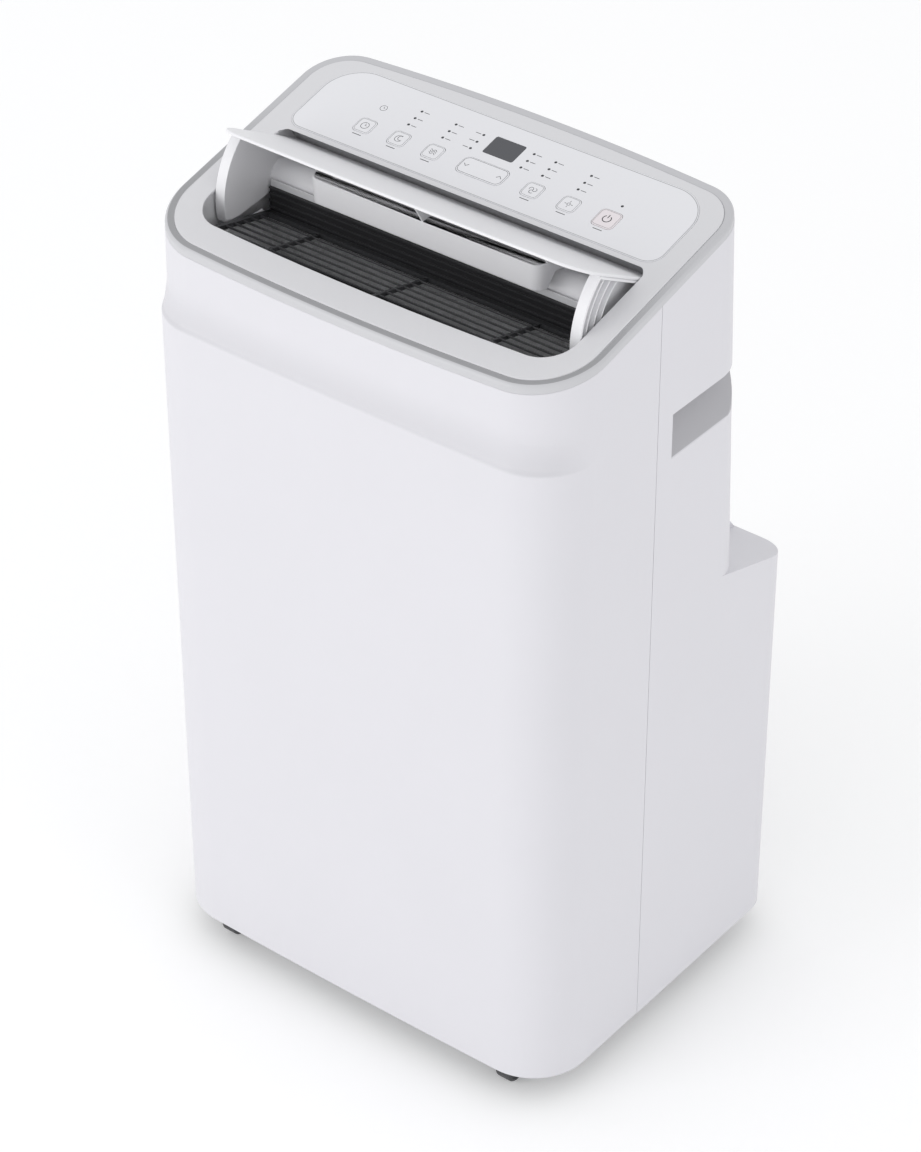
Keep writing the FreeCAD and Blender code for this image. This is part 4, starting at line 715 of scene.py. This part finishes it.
bars = [open_strip(on_grille([-GRILLE_HALF + 2, GRILLE_HALF - 2],
                             FIRST_BAR + BAR_PITCH * number + BAR_SECTION[:, 0], BAR_SECTION[:, 1]))
        for number in range(6)]
bars += [beam(-GRILLE_HALF, GRILLE_HALF, 0.0, RIM, -DEPTH, 0.0),
         beam(-GRILLE_HALF, GRILLE_HALF, 81.4, GRILLE_LENGTH, -DEPTH, 0.0),
         beam(-GRILLE_HALF, -GRILLE_HALF + RIM, 0.0, GRILLE_LENGTH, -DEPTH, 0.0),
         beam(GRILLE_HALF - RIM, GRILLE_HALF, 0.0, GRILLE_LENGTH, -DEPTH, 0.0)]
bars += [beam(middle - 1.25, middle + 1.25, 4.0, 82.0, -3.8, -0.3) for middle in (-114.0, 0.0, 114.0)]


def upright(front, back, low, high):
    """A strip across the whole grille, with a rectangular section in y and z."""
    return open_strip(np.array([[[x, y, z] for x in (-GRILLE_HALF, GRILLE_HALF)]
                                for y, z in ((front, low), (front, high), (back, high), (back, low))]))


bars += [upright(-50.8, -49.4, level, level + 1.4) for level in (724.5, 731.0, 737.5, 742.6)]
piece("grille_blades", bars, "cabinet", "grille_black", ["outlet_grille"])
# The wall is the grille's own plastic; its darker black is painted shade.
piece("grille_back_wall", [upright(-49.6, -48.4, 719.0, 744.0)], "cabinet", "fan_black")

# %% [markdown]
# ## Louver plate
# The flap is a flat plate with generous corners and a fully rounded edge. Its outline is drawn in
# the flap's own frame about the hinge, and the whole piece is turned to the resting angle at once.

# %% Louver plate
PIVOT_Y = -29.9
PIVOT_Z = 747.5
LOUVER_ANGLE = math.radians(13.64 - 42.66)


def turned(points, angle, y, z):
    """Points turned about an X axis and moved to (y, z)."""
    cosine, sine = math.cos(angle), math.sin(angle)
    return np.stack([points[..., 0], y + points[..., 1] * cosine - points[..., 2] * sine,
                     z + points[..., 1] * sine + points[..., 2] * cosine], axis=-1)


def slab(outline, section):
    """A plate: the section (inset, height) carried round a flat outline, with flat faces on it."""
    inset = section[:, 0, None, None]
    flat = outline[..., :2] - inset * outline[..., 2:]
    level = np.broadcast_to(section[:, 1, None, None], flat.shape[:2] + (1,))
    return tube(np.concatenate([flat, level], axis=-1))


def rounded_section(low, high, edge, steps=5):
    """The edge of a plate: a quarter circle at the bottom, a straight, a quarter circle on top."""
    angle = np.linspace(0, math.pi / 2, steps)
    below = np.stack([edge - edge * np.sin(angle), low + edge - edge * np.cos(angle)], axis=-1)
    above = np.stack([edge - edge * np.cos(angle), high - edge + edge * np.sin(angle)], axis=-1)
    return np.concatenate([below, above])


plate_outline = whole_outline(187.0, (-102.3, 29.0, 3440.0), (19.0, 7.0, 90000.0))
plate_points, plate_faces = slab(plate_outline, rounded_section(25.7, 28.7, 1.2))
piece("louver_plate_skin", [(turned(plate_points, LOUVER_ANGLE, PIVOT_Y, PIVOT_Z), plate_faces)],
      "louver", "louver_white", ["louver_plate"])

# %% [markdown]
# ## Keys, rocker and window
# The keys are soft caps, almost flush with the panel, with a slightly crowned top and a small edge
# radius. One function makes them all: a rounded rectangle whose rings first climb the side, turn
# over the edge and then shrink towards the middle while the crown rises.


# %% Caps
def rounded_rectangle(half_x, half_y, corner, steps=8):
    """A closed outline of four quarter circles, as (1, points, 4) of place and outward direction."""
    angle = np.linspace(0, math.pi / 2, steps)
    quarters = [(1, 1, 0.0), (-1, 1, 0.5), (-1, -1, 1.0), (1, -1, 1.5)]
    parts = []
    for sign_x, sign_y, turn in quarters:
        out = np.stack([np.cos(angle + turn * math.pi), np.sin(angle + turn * math.pi)], axis=-1)
        parts.append(np.concatenate([
            out * corner + np.array([sign_x * (half_x - corner), sign_y * (half_y - corner)]), out], axis=-1))
    return np.concatenate(parts)[None]


def cap(half_x, half_y, corner, x, y, low, high, edge=0.5, crown=0.12):
    """A crowned cap: height = high + crown x (1 - share squared) as the rings shrink to the middle."""
    outline = rounded_rectangle(half_x, half_y, corner)
    section = np.concatenate([[(0.0, low)], rounded_section(low, high, edge)[5:]])
    flat = outline[..., :2] - section[:, 0, None, None] * outline[..., 2:]
    level = np.broadcast_to(section[:, 1, None, None], flat.shape[:2] + (1,))
    side = np.concatenate([flat, level], axis=-1)
    share = np.array([0.85, 0.65, 0.4, 0.12])[:, None, None]
    top = side[-1:] * np.ones_like(share)
    top[..., :2] *= share
    top[..., 2:] += crown * (1 - share ** 2)
    points, faces = tube(np.concatenate([side, top]))
    points = points + np.array([x, y, 0.0])
    return turned(points, DECK_ANGLE, 0.0, DECK_HEIGHT), faces


KEYS = {"timer": (-125, 8.5), "sleep": (-89, 8.5), "swing": (-53, 8.5), "fan": (49.5, 8.5), "mode": (86, 8.5),
        "power": (124, 10.2)}
KEY_LINE = 17.5
for name, (x, half) in KEYS.items():
    piece(f"{name}_key_cap", [cap(half, half, 4.2, x, KEY_LINE, -7.0, 0.3)], f"{name}_key",
          slot_of[f"{name}_key"], [f"{name}_key"])
piece("rocker_cap", [cap(23.0, 10.0, 6.0, -1.5, KEY_LINE, -4.7, 0.3)], "temperature_rocker",
      "key_white", ["temperature_rocker"])
piece("display_glass", [cap(15.4, 10.9, 1.9, -1.6, 47.8, -3.0, -0.15, 0.2, 0.05)], "cabinet",
      "display_dark", ["display_window"])

# %% [markdown]
# ## Printed marks
# The marks on the panel are ink films. Each is a thin raised ribbon: an open stroke or a closed band,
# a few hundredths of a millimetre proud of what it lies on. The marks on a key ride on that key, so
# they move when it is pressed. All symbols are generic, and the captions are plain dashes.


# %% Strokes and bands
def on_panel(points, x=0.0, y=0.0):
    """Points in the panel's own plane, moved to x, y and tilted with the deck."""
    return turned(points + np.array([x, y, 0.0]), DECK_ANGLE, 0.0, DECK_HEIGHT)


def stroke(path, width, low, high, x=0.0, y=0.0):
    """An open line of ink: the path, moved half a width to each side along its normal."""
    path = np.asarray(path, float)
    along = np.gradient(path, axis=0)
    across = along[:, ::-1] * np.array([-0.5, 0.5]) * width / np.linalg.norm(along, axis=1, keepdims=True)
    rows = [np.column_stack([path + side * across, np.full(len(path), level)])
            for side, level in ((1, low), (1, high), (-1, high), (-1, low))]
    points, faces = open_strip(np.stack(rows))
    return on_panel(points, x, y), faces


def band(outline, inset, width, low, high, x=0.0, y=0.0):
    """A closed line of ink that follows an outline some way inside it."""
    section = np.array([(inset, low), (inset, high), (inset + width, high), (inset + width, low)])
    flat = outline[..., :2] - section[:, 0, None, None] * outline[..., 2:]
    level = np.broadcast_to(section[:, 1, None, None], flat.shape[:2] + (1,))
    points, faces = ring(np.concatenate([flat, level], axis=-1))
    return on_panel(points, x, y), faces


def arc(x, y, radius, start, end, steps=22):
    """Points on an arc, its angles in degrees."""
    angle = np.radians(np.linspace(start, end, steps))
    return np.column_stack([x + radius * np.cos(angle), y + radius * np.sin(angle)])


def ripple(y):
    """One and a half waves of a sine, across a symbol at height y."""
    x = np.linspace(-3.4, 3.4, 24)
    return np.column_stack([x, y + 0.8 * np.sin(x * 1.4)])


# %% Marks on keys, rocker and panel
LIGHT_COLUMNS = (-93, -57, -28, 24, 46, 82)
LIGHT_ROWS = (36, 45, 54.5)
PETAL = 1.9
SYMBOLS = {
    "timer": [arc(0, 0, 3.7, 90, 440), [(0, 2.3), (0, 0), (1.7, 0)]],
    "sleep": [arc(0, 0, 3.6, 60, 330), arc(1.8, 1.0, 2.9, 85, 305)],
    "swing": [ripple(-2.0), ripple(0.0), ripple(2.0)],
    "fan": [arc(PETAL * math.cos(turn), PETAL * math.sin(turn), PETAL,
                math.degrees(turn) - 180, math.degrees(turn) + 60) for turn in (0.5, 2.6, 4.7)],
    "mode": [arc(0, 0, 1.4, 0, 350), [(0, 2.3), (0, 4.0)], [(0, -2.3), (0, -4.0)], [(2.3, 0), (4.0, 0)],
             [(-2.3, 0), (-4.0, 0)]],
    "power": [arc(0, 0, 3.7, 125, 415), [(0, 1.0), (0, 5.0)]],
}
for name, (x, half) in KEYS.items():
    dark = name == "power"
    lines = [stroke(path, 0.8 if dark else 0.4, 0.2, 0.47, x, KEY_LINE) for path in SYMBOLS[name]]
    piece(f"{name}_symbol", lines, f"{name}_key", "light_dark")
    piece(f"{name}_border", [band(rounded_rectangle(half, half, 4.2), 1.0, 0.3, 0.2, 0.37, x, KEY_LINE)],
          f"{name}_key", "tray_grey")
arrows = [stroke([(-2.4, 1.2), (0, -1.2), (2.4, 1.2)], 0.5, 0.2, 0.45, -18.5, KEY_LINE),
          stroke([(-2.4, -1.2), (0, 1.2), (2.4, -1.2)], 0.5, 0.2, 0.45, 15.7, KEY_LINE),
          band(rounded_rectangle(23.0, 10.0, 6.0), 1.0, 0.3, 0.2, 0.37, -1.5, KEY_LINE)]
piece("rocker_marks", arrows, "temperature_rocker", "light_dark")
captions = [stroke([(-4.5, 0), (4.5, 0)], 0.7, -0.1, 0.03, x, KEY_LINE - half - 3.2)
            for x, half in KEYS.values()]
for column in LIGHT_COLUMNS:
    side = -1 if column == -28 else 1
    captions += [stroke([(2.8 * side, 0), (8.0 * side, 0)], 0.6, -0.1, 0.03, column, row)
                 for row in LIGHT_ROWS]
captions += [stroke(arc(0, 0, 3.2, 90, 440), 0.4, -0.1, 0.03, -125, 43),
             stroke([(0, 1.9), (0, 0), (1.4, 0)], 0.4, -0.1, 0.03, -125, 43)]
piece("panel_captions", captions, "cabinet", "light_dark")
panel_edge = whole_outline(190.0, (-10.3, 15.0, 90000.0), (76.2, 35.0, 90000.0))
piece("panel_border", [band(panel_edge, 0.6, 0.7, -0.1, 0.03)], "cabinet", "collar_grey")

# %% [markdown]
# ## Wheels
# A caster wheel is one profile turned about its axle: a bore, a raised hub, a sunk web, a rim and a
# tread with round shoulders. The ring closes both ways, so no cap is needed.

# %% Wheels
WHEEL_HALF_PROFILE = np.array([
    # offset along the axle, radius
    (8.0, 2.6), (8.0, 4.2), (7.1, 4.5), (7.1, 9.4), (8.0, 9.8), (8.0, 11.2), (7.6, 12.2), (6.8, 12.8),
    (5.8, 13.0),
])


def wheel_ring(x, y, z, steps=64):
    """The profile turned about the axle, which lies along X through (x, y, z)."""
    profile = np.concatenate([WHEEL_HALF_PROFILE, WHEEL_HALF_PROFILE[::-1] * np.array([-1, 1])])
    angle = np.linspace(0, 2 * math.pi, steps, endpoint=False)
    offset = np.repeat(profile[:, :1], steps, axis=1)
    radius = profile[:, 1:]
    return np.stack([x + offset, y + radius * np.cos(angle), z + radius * np.sin(angle)], axis=-1)


for end, y in (("front", -146.0), ("rear", 128.0)):
    for hand, x in (("left", -160.0), ("right", 160.0)):
        piece(f"wheel_tyre_{end}_{hand}", [ring(wheel_ring(x, y, 13.0))], f"wheel_{end}_{hand}", "wheel_grey",
              [f"caster_wheel_{end}_{hand}"])

# %% [markdown]
# ## Floor and end
# The floor is a wide pale sheet at height zero with a trace of glow.

# %% Floor and end
floor_material, floor_shader, floor_place = new_finish("floor_white")
joined(floor_shader, Base_Color=mixed(noise(floor_place, 0.6), (0.87, 0.87, 0.87, 1), (0.89, 0.89, 0.89, 1)),
       Roughness=noise(floor_place, 0.05) * 0.1 + 0.6)
floor_shader.inputs["Emission Color"].default_value = (1, 1, 1, 1)
floor_shader.inputs["Emission Strength"].default_value = 0.16
reach = 30.0
floor_mesh = bpy.data.meshes.new("floor")
floor_mesh.from_pydata([(-reach, -reach, 0), (reach, -reach, 0), (reach, reach, 0), (-reach, reach, 0)],
                       [], [(0, 1, 2, 3)])
floor = bpy.data.objects.new("floor", floor_mesh)
floor_mesh.materials.append(floor_material)
bpy.context.scene.collection.objects.link(floor)
